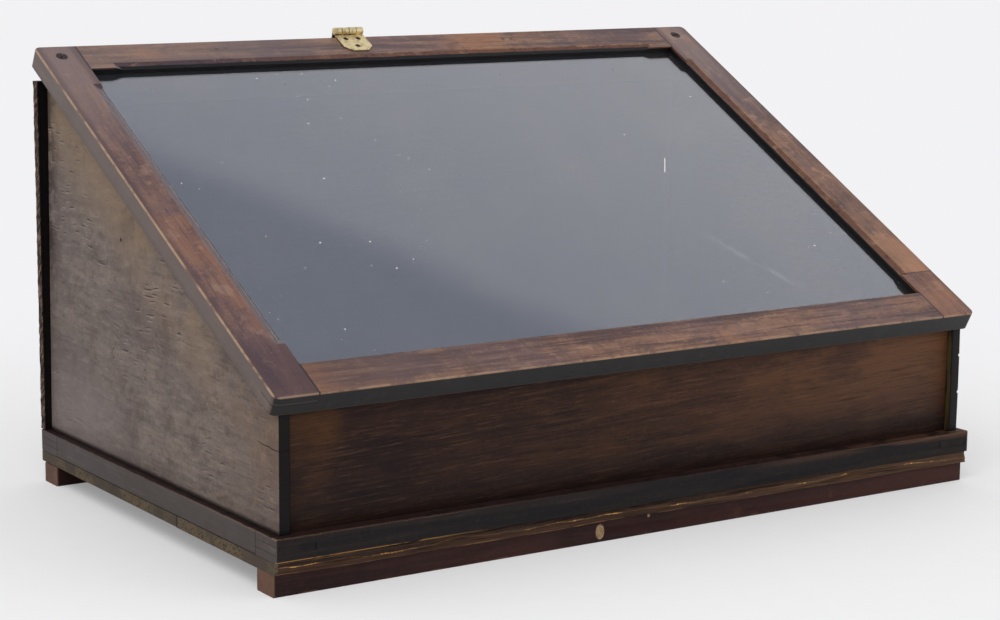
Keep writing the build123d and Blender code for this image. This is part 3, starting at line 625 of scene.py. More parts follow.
def strip_wood(name, context, along, seed):
    """Nearly black strips, browner on top and grey on the flanks, with dust, a fine line and worn arrises."""
    wood = Wood(name, context, along, "strips", (18, 16, 17), (66, 52, 46), seed=seed, figure=0.2, fibre=0.25)
    across = wood.calc("ABSOLUTE", wood.x)
    top = wood.ramp(wood.z, strip_high.z - 0.7 * MM, strip_high.z - 0.3 * MM)
    flank = wood.product((across, strip_high.x - 1.0 * MM, strip_high.x - 0.5 * MM), wood.minus(1.0, top))
    arris = wood.near(wood.y, strip_low.y, wood.z, strip_high.z, 1.3 * MM)
    side_arris = wood.near(across, strip_high.x, wood.z, strip_high.z, 1.2 * MM)
    right = wood.ramp(wood.x, 0.02, 0.27)
    left = wood.ramp(wood.x, -0.05, -0.25)
    worn = wood.ramp(wood.grime, 0.46, 0.62)
    half_worn = wood.product(worn, 0.5)
    groove = wood.most(
        wood.band(wood.y, strip_low.y + 2.5 * MM, strip_low.y + 3.0 * MM, 0.15 * MM),
        wood.band(across, 293.6 * MM, 294.2 * MM, 0.15 * MM),
    )
    # where the ledge meets the side and front panels, for a painted contact shade
    wall_foot_shade = wood.most(
        (wood.y, left_low.y - 1.4 * MM, left_low.y - 0.4 * MM),
        (across, 9.0 * MM - left_high.x, 8.2 * MM - left_high.x),
    )
    dust = wood.most(wood.spots(wood.point, 170.0, 0.07), wood.spots(wood.point, 74.0, 0.04))
    low_gold = wood.product(
        (wood.z, strip_low.z + 1.1 * MM, strip_low.z + 0.3 * MM),
        (wood.x, -0.12, -0.2),
        (wood.y, strip_low.y + 1.0 * MM, strip_low.y + 0.5 * MM),
        (wood.noise(wood.point, (40.0, 1.0, 1.0)), 0.36, 0.5),
    )
    shoulder = wood.product(
        wood.band(across, 269.5 * MM, 270.5 * MM, 0.2 * MM),
        wood.band(wood.z, 28.5 * MM, 33.9 * MM, 0.15 * MM),
    )
    back_joint = back_high.y - 31.2 * MM
    flank_shoulder = wood.most(*(
        wood.band(wood.y, joint - 0.4 * MM, joint + 0.4 * MM, 0.15 * MM)
        for joint in (strip_high.y, back_joint)
    ))
    in_laps = wood.most(
        (wood.y, strip_high.y + 0.4 * MM, strip_high.y), (wood.y, back_joint - 0.4 * MM, back_joint)
    )
    lap_lines = wood.most(*(
        wood.band(wood.z, line - 0.2 * MM, line + 0.2 * MM, 0.15 * MM)
        for line in (strip_low.z + 5.3 * MM, strip_high.z - 5.4 * MM)
    ))
    side_wear = wood.plus(half_worn, wood.product((wood.y, 0.0, -0.1), 0.4))
    wood.paint(
        ((84, 78, 76), 0.85, flank),
        ((70, 58, 54), 0.4, flank, (wood.stain, 0.46, 0.6)),
        ((112, 102, 96), 0.3, flank, (wood.fibre, 0.54, 0.7)),
        ((46, 29, 26), 0.8, top),
        ((78, 54, 44), 0.5, top, (wood.grime, 0.5, 0.64)),
        (
            (92, 64, 48), 0.75, (wood.z, strip_high.z - 6.0 * MM, strip_high.z - 1.0 * MM), right,
            (wood.figure, 0.4, 0.6),
        ),
        ((104, 78, 60), 1.0, arris, wood.most(left, right), wood.plus(half_worn, 0.25)),
        ((132, 110, 94), 1.0, side_arris, side_wear),
        ((12, 9, 9), 0.85, groove, top),
        # painted shade: a dark, patchy band on the ledge at the foot of the walls
        ((16, 12, 11), 0.8, top, wall_foot_shade, worn),
        ((166, 122, 70), 0.85, low_gold),
        ((5, 5, 5), 0.95, shoulder),
        ((16, 12, 11), 0.85, flank_shoulder, flank),
        ((24, 19, 18), 0.6, flank, in_laps, lap_lines),
        ((150, 138, 126), 0.4, dust, top),
    )
    wood.roughen(0.3, 0.45)
    return wood.done(0.1)


def board_wood(context):
    """Bottom boards: dark faces, a torn front edge with gold lines, and olive end grain with saw marks."""
    wood = Wood("Bottom board wood", context, 0, "boards", (26, 19, 17), (88, 62, 44), seed=5.0)
    end = wood.ramp(wood.calc("ABSOLUTE", wood.x), board_high.x - 2.4 * MM, board_high.x - 1.9 * MM)
    front = wood.product((wood.y, board_low.y + 4.6 * MM, board_low.y + 3.6 * MM), wood.minus(1.0, end))
    thread = wood.noise(wood.moved, (10.0, 60.0, 560.0), 4.0, 0.7, 0.5)
    tilted = wood.add("Mapping", {"Vector": wood.moved, "Rotation": (0.7, 0.0, 0.0)}).outputs[0]
    hatch = wood.noise(tilted, (1.0, 300.0, 900.0), 2.0, 0.6)
    patch = wood.ramp(wood.noise(wood.moved, (1.0, 26.0, 26.0), 2.0), 0.5, 0.58)
    swell = wood.noise(wood.point, (7.5, 0.0, 0.0), 4.0, 0.55)
    above = wood.minus(wood.z, wood.plus(wood.product(swell, 16.0 * MM), board_low.z - 3.6 * MM))
    bright = wood.ramp(wood.noise(wood.point, (26.0, 1.0, 60.0), 5.0, 0.7), 0.5, 0.6)
    line = wood.product(front, (wood.calc("ABSOLUTE", above), 0.55 * MM, 0.2 * MM))
    streaky = wood.ramp(wood.noise(wood.point, (14.0, 1.0, 300.0), 4.0, 0.65), 0.48, 0.58)
    seam = wood.band(wood.y, board_high.y - 0.5 * MM, board_high.y + 0.5 * MM, 0.15 * MM)
    wood.paint(
        ((66, 44, 32), 0.55, front, (above, 0.0, -0.4 * MM)),
        ((88, 64, 48), 0.6, front, (wood.x, 0.0, 0.2)),
        ((92, 66, 46), 0.5, front, (thread, 0.54, 0.66)),
        ((20, 15, 15), 0.7, front, (thread, 0.46, 0.34)),
        ((140, 102, 66), 1.0, line, wood.plus(wood.product(bright, 0.5), 0.2)),
        ((206, 158, 88), 1.0, line, bright, (wood.grime, 0.5, 0.58)),
        (
            (158, 116, 68), 0.8, front, (wood.z, board_high.z - 1.6 * MM, board_high.z - 0.8 * MM),
            (wood.x, -0.1, -0.24), streaky,
        ),
        ((132, 96, 62), 0.6, front, (wood.z, board_low.z + 0.9 * MM, board_low.z + 0.4 * MM), streaky),
        ((80, 70, 58), 0.9, end),
        ((58, 48, 42), 0.5, end, (wood.stain, 0.46, 0.6)),
        ((106, 90, 66), 0.55, end, patch),
        ((54, 44, 34), 0.8, end, patch, (hatch, 0.5, 0.62)),
        ((40, 32, 28), 0.4, end, (hatch, 0.6, 0.7)),
        ((14, 10, 9), 0.95, seam, end),
        # painted shade: the top faces near black, for the dark inside of the case
        ((20, 16, 15), 0.9, (wood.z, board_high.z - 0.5 * MM, board_high.z - 0.2 * MM)),
    )
    wood.raised(wood.product(front, thread), 1.2)
    wood.raised(wood.product(end, hatch), 0.8)
    wood.roughen(0.2, 0.55)
    return wood.done(0.12)


def batten_wood(context):
    """Red-brown foot battens with bare ends, darker at the left."""
    wood = Wood(
        "Foot batten wood", context, 0, "battens", (30, 16, 16), (84, 48, 38), seed=7.0, figure=0.35,
        fibre=0.25,
    )
    end = wood.ramp(wood.x, batten_low.x + 1.2 * MM, batten_low.x + 0.6 * MM)
    right = wood.ramp(wood.x, -0.1, 0.24)
    foot = wood.ramp(wood.z, batten_low.z + 1.6 * MM, batten_low.z + 0.4 * MM)
    fleck = wood.near(wood.x, -1.8 * MM, wood.z, batten_high.z - 1.5 * MM, 1.6 * MM)
    wood.paint(
        ((26, 15, 17), 0.5, (wood.stain, 0.48, 0.64)),
        ((70, 43, 38), 0.5, right),
        ((100, 64, 52), 0.4, (wood.noise(wood.moved, 30.0, 5.0, 0.7), 0.56, 0.68), right),
        ((112, 84, 66), 0.45, foot, (wood.grime, 0.5, 0.66)),
        ((166, 128, 96), 0.8, fleck),
        ((106, 76, 60), 0.88, end),
        ((76, 50, 42), 0.5, end, (wood.grime, 0.46, 0.6)),
    )
    wood.roughen(0.3, 0.4)
    return wood.done(0.12)


def plain_wood(name, context, along, base, dark, light, seed):
    """Wood with no marks of its own, for the pieces that show little."""
    wood = Wood(name, context, along, base, dark, light, seed=seed)
    wood.paint((dark, 0.4, (wood.stain, 0.5, 0.7)), (light, 0.3, (wood.grime, 0.56, 0.7)))
    return wood.done()


def plug_wood(context):
    """Pale, cracked end grain of the plug in the front batten, dark at its rim."""
    low, high = span("foot_batten_plug")
    middle, half = (low + high) / 2, (high - low) / 2
    wood = Wood("Pale plug wood", context, 1, (156, 130, 98), (84, 62, 44), (190, 166, 130), seed=3.0)
    distance = wood.distance(
        wood.product(wood.minus(wood.x, middle.x), 1 / half.x),
        wood.product(wood.minus(wood.z, middle.z), 1 / half.z),
    )
    ragged = wood.plus(distance, wood.product(wood.minus(wood.speck, 0.5), 0.9))
    wood.paint(
        ((84, 62, 46), 0.65, (wood.noise(wood.point, 520.0, 4.0, 0.75), 0.48, 0.42)),
        ((206, 182, 146), 0.5, (wood.speck, 0.56, 0.66)),
        ((50, 34, 28), 0.8, (ragged, 0.84, 1.0)),
    )
    return wood.done(0.12)


def back_wood(context):
    """Rough back panel, its front face painted black as shade, from the side panel and inside the case, with a
    broken brown left end.
    """
    wood = Wood(
        "Back panel wood", context, 0, (66, 50, 42), (32, 23, 20), (108, 82, 62), seed=11.0, figure=0.5,
        fibre=0.4,
    )
    end = wood.ramp(wood.x, back_low.x + 3.0 * MM, back_low.x + 2.4 * MM)
    slanted = wood.add("Mapping", {"Vector": wood.moved, "Rotation": (0.9, 0.0, 0.0)}).outputs[0]
    chunk = wood.noise(slanted, (1.0, 130.0, 420.0), 3.0, 0.6)
    wood.paint(
        ((44, 32, 28), 0.5, (wood.stain, 0.48, 0.66)),
        ((74, 58, 52), 0.8, end),
        ((132, 108, 94), 0.7, end, (chunk, 0.52, 0.62)),
        ((24, 17, 16), 0.85, end, (chunk, 0.48, 0.38)),
        # painted shade: the front face black, where the side panel and the inside of the case shade it
        ((9, 7, 7), 0.96, (wood.y, back_low.y + 0.9 * MM, back_low.y + 0.4 * MM)),
    )
    wood.raised(wood.product(end, chunk), 3.0)
    wood.roughen(0.2, 0.66)
    return wood.done(0.1)


def brass_metal(context):
    """Aged brass: pale gold where it is rubbed, brown in the corners and between the knuckles."""
    settings = context.scene.display_case_metal
    brass = Finish("Aged brass")
    across, off = brass.split(lid_place(brass))[::2]
    film = brass.noise(brass.point, 210.0, 5.0, 0.65)
    joints = [
        brass.band(across, middle - 0.22 * MM, middle + 0.22 * MM, 0.12 * MM)
        for middle in (HINGE_MIDDLE - KNUCKLE, HINGE_MIDDLE, HINGE_MIDDLE + KNUCKLE)
    ]
    colour = brass.lay(
        rgb(settings.brass),
        (rgb(settings.patina), 0.5, (film, 0.46, 0.64)),
        ((104, 80, 50), 0.45, (brass.noise(brass.point, 70.0, 3.0, 0.6), 0.54, 0.7)),
        ((60, 44, 30), 0.5, (brass.noise(brass.point, 900.0, 2.0), 0.62, 0.7)),
        ((56, 38, 24), 0.8, (off, 0.9 * MM, 0.5 * MM)),
        ((46, 32, 22), 0.9, brass.most(*joints), (off, 1.35 * MM, 1.6 * MM)),
    )
    rough = brass.plus(brass.product(film, 0.4), 0.2)
    return brass.close(colour, rough, film, 0.08 * MM, 0.75)


def iron_metal(name, context, rust):
    """Dark, pitted iron of old screws and nails."""
    iron = Finish(name)
    pits = iron.noise(iron.point, 620.0, 4.0, 0.7)
    colour = iron.lay(
        rgb(context.scene.display_case_metal.iron),
        (rust, 0.6, (iron.noise(iron.point, 180.0, 4.0, 0.6), 0.5, 0.66)),
        ((20, 16, 15), 0.6, (pits, 0.58, 0.7)),
    )
    rough = iron.plus(iron.product(pits, 0.4), 0.3)
    return iron.close(colour, rough, pits, 0.1 * MM, 0.7)


def body_of(node):
    """The body that a CAD node belongs to."""
    bodies = frame["record"]["behaviour"]["bodies"]
    return next(name for name, nodes in bodies.items() if node in nodes)


def collect(name, mesh, node):
    """Puts a finished mesh in the scene as the piece that stands for a CAD node."""
    piece = bpy.data.objects.new(name, mesh)
    bpy.context.scene.collection.objects.link(piece)
    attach(piece, body_of(node))
    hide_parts(node)


def paint_nodes(material, *nodes):
    """Gives CAD nodes that keep their own mesh a finish."""
    for node in nodes:
        materials = frame["nodes"][node].data.materials
        materials.clear()
        materials.append(material)


def eased_piece(node, material, width, shortest=12.0 * MM):
    """A copy of a CAD node whose long sharp edges are eased, as handling does, and that replaces it."""
    built = bmesh.new()
    built.from_mesh(frame["nodes"][node].data)
    bmesh.ops.remove_doubles(built, verts=built.verts, dist=0.002 * MM)
    bmesh.ops.dissolve_limit(
        built, angle_limit=math.radians(0.4), verts=built.verts, edges=built.edges, delimit={"NORMAL"}
    )
    sharp = [
        edge
        for edge in built.edges
        if len(edge.link_faces) == 2
        and edge.calc_length() > shortest
        and edge.calc_face_angle(0.0) > EASED_ANGLE
    ]
    bmesh.ops.bevel(
        built, geom=sharp, offset=width, offset_type="OFFSET", segments=2, profile=0.5, affect="EDGES",
        clamp_overlap=False,
    )
    mesh = bpy.data.meshes.new(node + "_eased")
    built.to_mesh(mesh)
    built.free()
    mesh.materials.append(material)
    mesh.set_sharp_from_angle(angle=SHARP_ANGLE)
    collect(node + "_worn", mesh, node)


class Recipe(Graph):
    """A geometry node tree with named inputs, which makes one mesh."""

    def __init__(self, name):
        super().__init__(bpy.data.node_groups.new(name, "GeometryNodeTree"))
        self.name = name
        self.tree.is_modifier = True
        self.inlet = self.add("NodeGroupInput")
        self.outlet = self.add("NodeGroupOutput")
        for way in ("INPUT", "OUTPUT"):
            self.tree.interface.new_socket("Geometry", in_out=way, socket_type="NodeSocketGeometry")
        self.values = {}

    def ask(self, name, value, kind="Float"):
        """A named input of the tree, with the value that this piece gives it."""
        socket = self.tree.interface.new_socket(name, in_out="INPUT", socket_type="NodeSocket" + kind)
        self.values[socket.identifier] = value
        return self.inlet.outputs[name]

    def vector(self, x=0.0, y=0.0, z=0.0):
        """A vector from its three parts."""
        return self.add("CombineXYZ", {0: x, 1: y, 2: z}).outputs[0]

    def moved(self, geometry, offset):
        """Geometry moved along."""
        return self.add("GeometryNodeTransform", {"Geometry": geometry, "Translation": offset}).outputs[0]

    def joined(self, *parts):
        """Several geometries as one."""
        node = self.add("GeometryNodeJoinGeometry")
        for part in reversed(parts):
            self.put(node.inputs[0], part)
        return node.outputs[0]

    def cone(self, sides, top, bottom, upper, lower):
        """A cone between two depths, with its radius at each of them."""
        inputs = {"Vertices": sides, "Radius Top": top, "Radius Bottom": bottom}
        inputs["Depth"] = self.minus(lower, upper)
        cone = self.add("GeometryNodeMeshCone", inputs).outputs[0]
        return self.moved(cone, self.vector(z=self.product(lower, -1.0)))

    def mesh(self, start, geometry, material):
        """Ends the tree, runs it on a start mesh and returns the plain mesh that it makes."""
        whole = self.add("GeometryNodeRealizeInstances", {0: geometry}).outputs[0]
        finish = self.ask("Material", material, "Material")
        coated = self.add("GeometryNodeSetMaterial", {"Geometry": whole, "Material": finish}).outputs[0]
        self.put(self.outlet.inputs[0], coated)
        carrier = bpy.data.objects.new(self.name + "_start", start)
        bpy.context.scene.collection.objects.link(carrier)
        modifier = carrier.modifiers.new(self.name, "NODES")
        modifier.node_group = self.tree
        for identifier, value in self.values.items():
            modifier[identifier] = value
        bpy.context.view_layer.update()
        evaluated = carrier.evaluated_get(bpy.context.evaluated_depsgraph_get())
        made = bpy.data.meshes.new_from_object(evaluated)
        made.name = self.name
        carrier.modifiers.remove(modifier)
        bpy.data.objects.remove(carrier)
        return made


class Board(Recipe):
    """A board of many small faces in the place of a CAD node, so that its edges can be broken."""

    def __init__(self, name, node, seed, sides, counts, roughness):
        super().__init__(name)
        low, high = span(node)
        self.middle, self.size = (low + high) / 2, high - low
        self.roughness = roughness
        self.seed = self.ask("Seed", seed, "Int")
        inputs = {"Size": self.vector(*(self.ask(side, length) for side, length in zip(sides, self.size)))}
        inputs.update(zip(("Vertices X", "Vertices Y", "Vertices Z"), counts))
        self.slab = self.add("GeometryNodeMeshCube", inputs).outputs[0]
        self.place = self.add("GeometryNodeInputPosition").outputs[0]
        self.x, self.y = self.split(self.place)[:2]

    def rough(self, detail, *stretch):
        """Random variation over the board, whose pattern the seed sets."""
        inputs = {"Vector": self.scaled(self.place, *stretch), "W": self.seed, "Scale": 1.0, "Detail": detail}
        inputs["Roughness"] = self.roughness
        return self.add("TexNoise", inputs, noise_dimensions="4D").outputs[0]

    def broken(self, offset, material):
        """The board's mesh with its points moved by an offset."""
        moved = self.add("GeometryNodeSetPosition", {"Geometry": self.slab, "Offset": offset}).outputs[0]
        return self.mesh(marks([]), self.moved(moved, tuple(self.middle)), material)


def marks(spots):
    """A mesh of loose points, each with the turn that its fixing has."""
    mesh = bpy.data.meshes.new("marks")
    mesh.from_pydata([spot for spot, turn in spots], [], [])
    turns = mesh.attributes.new("turn", "FLOAT_VECTOR", "POINT")
    for index, (spot, turn) in enumerate(spots):
        turns.data[index].vector = turn
    return mesh


def standing(recipe, fixing):
    """One fixing set on every mark, turned as the mark says."""
    turn = recipe.add("GeometryNodeInputNamedAttribute", {"Name": "turn"}, data_type="FLOAT_VECTOR")
    rotation = recipe.add("FunctionNodeEulerToRotation", {0: turn.outputs[0]}).outputs[0]
    inputs = {"Points": recipe.inlet.outputs["Geometry"], "Instance": fixing, "Rotation": rotation}
    return recipe.add("GeometryNodeInstanceOnPoints", inputs).outputs[0]


def screw_mesh(name, spots, head, shank, length, material):
    """Slotted, countersunk screws, their heads flush with their marks."""
    recipe = Recipe(name)
    head_radius = recipe.ask("Head radius", head)
    shank_radius = recipe.ask("Shank radius", shank)
    whole_length = recipe.ask("Length", length)
    slot_width = recipe.ask("Slot width", head * 0.24)
    depth = recipe.product(recipe.minus(head_radius, shank_radius), 1.15)
    rim = recipe.product(head_radius, 0.06)
    parts = (
        recipe.cone(32, recipe.product(head_radius, 0.93), head_radius, 0.0, rim),
        recipe.cone(32, head_radius, shank_radius, rim, depth),
    )
    slot = recipe.vector(recipe.product(head_radius, 3.0), slot_width, recipe.product(depth, 0.9))
    cutter = recipe.add("GeometryNodeMeshCube", {"Size": slot}).outputs[0]
    slotted = [
        recipe.add("GeometryNodeMeshBoolean", {0: part, 1: cutter}, operation="DIFFERENCE").outputs[0]
        for part in parts
    ]
    stem = recipe.cone(16, shank_radius, recipe.product(shank_radius, 0.3), depth, whole_length)
    return recipe.mesh(marks(spots), standing(recipe, recipe.joined(*slotted, stem)), material)


def nail_mesh(name, spots, head, length, material):
    """Nails with a flat head, eased at its rim."""
    recipe = Recipe(name)
    head_radius = recipe.ask("Head radius", head)
    whole_length = recipe.ask("Length", length)
    thick = recipe.product(head_radius, 0.45)
    rim = recipe.product(head_radius, 0.16)
    low = recipe.cone(20, head_radius, head_radius, rim, thick)
    high = recipe.cone(20, recipe.product(head_radius, 0.84), head_radius, 0.0, rim)
    neck, tip = recipe.product(head_radius, 0.47), recipe.product(head_radius, 0.1)
    stem = recipe.cone(10, neck, tip, thick, whole_length)
    return recipe.mesh(marks(spots), standing(recipe, recipe.joined(low, high, stem)), material)


def torn_board_mesh(name, node, settings, material):
    """A board whose front edge is torn off along the grain, with loose fibres and a ragged right end."""
    board = Board(name, node, settings.seed, ("Length", "Width", "Thickness"), (420, 8, 13), 0.6)
    tear = board.ask("Tear depth", settings.tear)
    fibre = board.ask("Fibre depth", settings.fibre)
    at_front = board.calc("LESS_THAN", board.y, -board.size.y * 0.499)
    at_right = board.calc("GREATER_THAN", board.x, board.size.x * 0.4995)
    flake = board.ramp(board.rough(3.0, 9.0, 0.0, 110.0), 0.4, 0.66)
    thread = board.rough(4.0, 55.0, 0.0, 720.0)
    back = board.plus(board.product(flake, tear), board.product(thread, fibre))
    ragged = board.product(board.rough(3.0, 0.0, 90.0, 480.0), board.product(tear, 0.6))
    offset = board.vector(board.product(ragged, at_right, -1.0), board.product(back, at_front))
    return board.broken(offset, material)


def broken_end_mesh(name, node, material):
    """A panel whose left end is split into ragged layers."""
    board = Board(name, node, 9, ("Length", "Thickness", "Height"), (6, 13, 240), 0.65)
    depth = board.ask("Break depth", 2.2 * MM)
    at_left = board.calc("LESS_THAN", board.x, -board.size.x * 0.499)
    ragged = board.product(board.rough(4.0, 0.0, 330.0, 150.0), depth, at_left)
    return board.broken(board.vector(ragged), material)


def slot_turned(tilt, spin):
    """A tilt with the slot turned first, as one turn."""
    return (Matrix.Rotation(tilt, 3, "X") @ Matrix.Rotation(spin, 3, "Z")).to_euler()


class PieceOperator:
    """What every operator of this file shares."""

    bl_options = {"REGISTER", "UNDO"}


class DISPLAYCASE_OT_lid_frame(PieceOperator, bpy.types.Operator):
    """Dress the lid's stiles, rails and repair"""

    bl_idname = "displaycase.lid_frame"
    bl_label = "Lid frame"

    def execute(self, context):
        paint_nodes(lid_wood("Lid rail wood", context, 0, 1.0), "lid_top_rail", "lid_bottom_rail")
        paint_nodes(lid_wood("Lid stile wood", context, 1, 2.0), "lid_left_stile", "lid_right_stile")
        paint_nodes(lid_wood("Repair wood", context, 1, 6.0, 0.35), "lid_right_stile_repair")
        return {"FINISHED"}


class DISPLAYCASE_OT_glazing(PieceOperator, bpy.types.Operator):
    """Dress the glass and the beads and pins that hold it"""

    bl_idname = "displaycase.glazing"
    bl_label = "Glazing"

    def execute(self, context):
        paint_nodes(glass_material(context), "glass_pane")
        paint_nodes(iron_metal("Pin iron", context, (70, 48, 36)), "glazing_bead_pins")
        for side, along in (("top", 0), ("bottom", 0), ("left", 1), ("right", 1)):
            name, seed = "Bead wood " + side, along + 4.0
            stained = plain_wood(name, context, along, (40, 31, 26), (22, 17, 15), (74, 56, 44), seed)
            eased_piece("glazing_bead_" + side, stained, 0.6 * MM)
        return {"FINISHED"}


class DISPLAYCASE_OT_walls(PieceOperator, bpy.types.Operator):
    """Dress the side panels and the front panel"""

    bl_idname = "displaycase.walls"
    bl_label = "Side and front panels"

    def execute(self, context):
        width = context.scene.display_case_wear.arris
        eased_piece("left_side_panel", side_wood("Left side wood", context, 1.0, True), width)
        eased_piece("right_side_panel", side_wood("Right side wood", context, 8.0, False), width, 1.2 * MM)
        eased_piece("front_panel", front_wood(context), width * 0.4)
        return {"FINISHED"}


class DISPLAYCASE_OT_back(PieceOperator, bpy.types.Operator):
    """Build the back panel with its broken end, and dress the hinge rail"""

    bl_idname = "displaycase.back"
    bl_label = "Back"

    def execute(self, context):
        mesh = broken_end_mesh("back_panel_broken", "back_panel", back_wood(context))
        collect("back_panel_broken", mesh, "back_panel")
        rail = plain_wood("Hinge rail wood", context, 0, (84, 64, 50), (50, 37, 30), (116, 92, 70), 9.0)
        paint_nodes(rail, "hinge_rail")
        return {"FINISHED"}


class DISPLAYCASE_OT_base_strips(PieceOperator, bpy.types.Operator):
    """Dress the finger-jointed strips of the base"""

    bl_idname = "displaycase.base_strips"
    bl_label = "Base strips"

    def execute(self, context):
        width = context.scene.display_case_wear.arris * 0.8
        long_wood = strip_wood("Long strip wood", context, 0, 2.0)
        short_wood = strip_wood("Side strip wood", context, 1, 4.0)
        for material, sides in ((long_wood, ("front", "back")), (short_wood, ("left", "right"))):
            for side in sides:
                eased_piece("base_strip_" + side, material, width, LONG_EDGE)
        return {"FINISHED"}


class DISPLAYCASE_OT_bottom_boards(PieceOperator, bpy.types.Operator):
    """Build the front board with its torn edge, and dress the back board"""

    bl_idname = "displaycase.bottom_boards"
    bl_label = "Bottom boards"

    def execute(self, context):
        settings = context.scene.display_case_wear
        material = board_wood(context)
        mesh = torn_board_mesh("bottom_board_front_torn", "bottom_board_front", settings, material)
        collect("bottom_board_front_torn", mesh, "bottom_board_front")
        eased_piece("bottom_board_back", material, settings.arris)
        return {"FINISHED"}


class DISPLAYCASE_OT_foot_battens(PieceOperator, bpy.types.Operator):
    """Dress the foot battens and the pale plug in the front one"""

    bl_idname = "displaycase.foot_battens"
    bl_label = "Foot battens"

    def execute(self, context):
        material = batten_wood(context)
        for node in ("foot_batten_front", "foot_batten_back"):
            eased_piece(node, material, context.scene.display_case_wear.arris, LONG_EDGE)
        paint_nodes(plug_wood(context), "foot_batten_plug")
        return {"FINISHED"}


class DISPLAYCASE_OT_hinge(PieceOperator, bpy.types.Operator):
    """Dress the brass hinge"""

    bl_idname = "displaycase.hinge"
    bl_label = "Hinge"

    def execute(self, context):
        paint_nodes(brass_metal(context), "hinge_lid_leaf", "hinge_case_leaf", "hinge_pin")
        return {"FINISHED"}


class DISPLAYCASE_OT_screws(PieceOperator, bpy.types.Operator):
    """Build the slotted screws of the lid's corners and the hinge"""

    bl_idname = "displaycase.screws"
    bl_label = "Screws"

    def execute(self, context):
        settings = context.scene.display_case_metal
        dark = iron_metal("Screw iron", context, (84, 62, 50))
        warm = iron_metal("Hinge screw iron", context, (96, 70, 44))
        corners = [
            (on_lid(side * CORNER_SCREW_X, CORNER_SCREW_UP, 0.0), slot_turned(SLOPE, turn))
            for side, turn in ((-1, 1.05), (1, 0.15))
        ]
        lid_leaf = [
            (on_lid(HINGE_MIDDLE + x * MM, HINGE_UP - down * MM, LEAF_THICKNESS), slot_turned(SLOPE, turn))
            for x, down, turn in LEAF_SCREWS
        ]
        for node, spots, head, shank, length, material in (
            ("lid_corner_screws", corners, settings.corner_head, 2.0 * MM, 12.0 * MM, dark),
            ("hinge_lid_screws", lid_leaf, settings.hinge_head, 1.2 * MM, 9.0 * MM, warm),
            ("hinge_case_screws", self.case_leaf(), settings.hinge_head, 1.2 * MM, 14.0 * MM, warm),
        ):
            mesh = screw_mesh(node + "_slotted", spots, head, shank, length, material)
            collect(node + "_slotted", mesh, node)
        return {"FINISHED"}

    def case_leaf(self):
        """The three screws of the case's leaf, two above and one below, from the box round their heads."""
        low, high = span("hinge_case_screws")
        upper = high.z - LEAF_SCREW_RADIUS
        return [
            (Vector((x, high.y, z)), slot_turned(-QUARTER_TURN, turn))
            for x, z, turn in (
                (low.x + LEAF_SCREW_RADIUS, upper, 0.4),
                (high.x - LEAF_SCREW_RADIUS, upper, 1.3),
                ((low.x + high.x) / 2, low.z + LEAF_SCREW_RADIUS, 2.2),
            )
        ]


class DISPLAYCASE_OT_nails(PieceOperator, bpy.types.Operator):
    """Build the nails of the back panel and the foot battens"""

    bl_idname = "displaycase.nails"
    bl_label = "Nails"

    def execute(self, context):
        head = context.scene.display_case_metal.nail_head
        iron = iron_metal("Nail iron", context, (92, 58, 40))
        below = [
            (share * base_half_width, sum(corner.y for corner in span(node)) / 2, 0.0)
            for node in ("foot_batten_front", "foot_batten_back")
            for share in BATTEN_NAIL_SHARES
        ]
        behind = [
            (x, back_high.y, strip_high.z + share * (back_high.z - strip_high.z))
            for x in (-BACK_NAIL_X, BACK_NAIL_X)
            for share in BACK_NAIL_SHARES
        ]
        behind += [(share * TOP_NAIL_X, back_high.y, back_high.z - TOP_NAIL_DROP) for share in TOP_NAIL_SHARES]
        for node, spots, tilt, length in (
            ("foot_batten_nails", below, HALF_TURN, 31.0 * MM),
            ("back_panel_nails", behind, -QUARTER_TURN, 24.0 * MM),
        ):
            turned = [(spot, (tilt, 0.0, 0.0)) for spot in spots]
            collect(node + "_headed", nail_mesh(node + "_headed", turned, head, length, iron), node)
        return {"FINISHED"}


class DISPLAYCASE_OT_plugs(PieceOperator, bpy.types.Operator):
    """Dress the plugs in the screw holes of the lost hinges"""

    bl_idname = "displaycase.plugs"
    bl_label = "Old hinge plugs"

    def execute(self, context):
        plug = plain_wood("Old plug wood", context, 2, (84, 60, 52), (48, 34, 30), (132, 102, 84), 5.0)
        paint_nodes(plug, "lost_hinge_plugs")
        return {"FINISHED"}


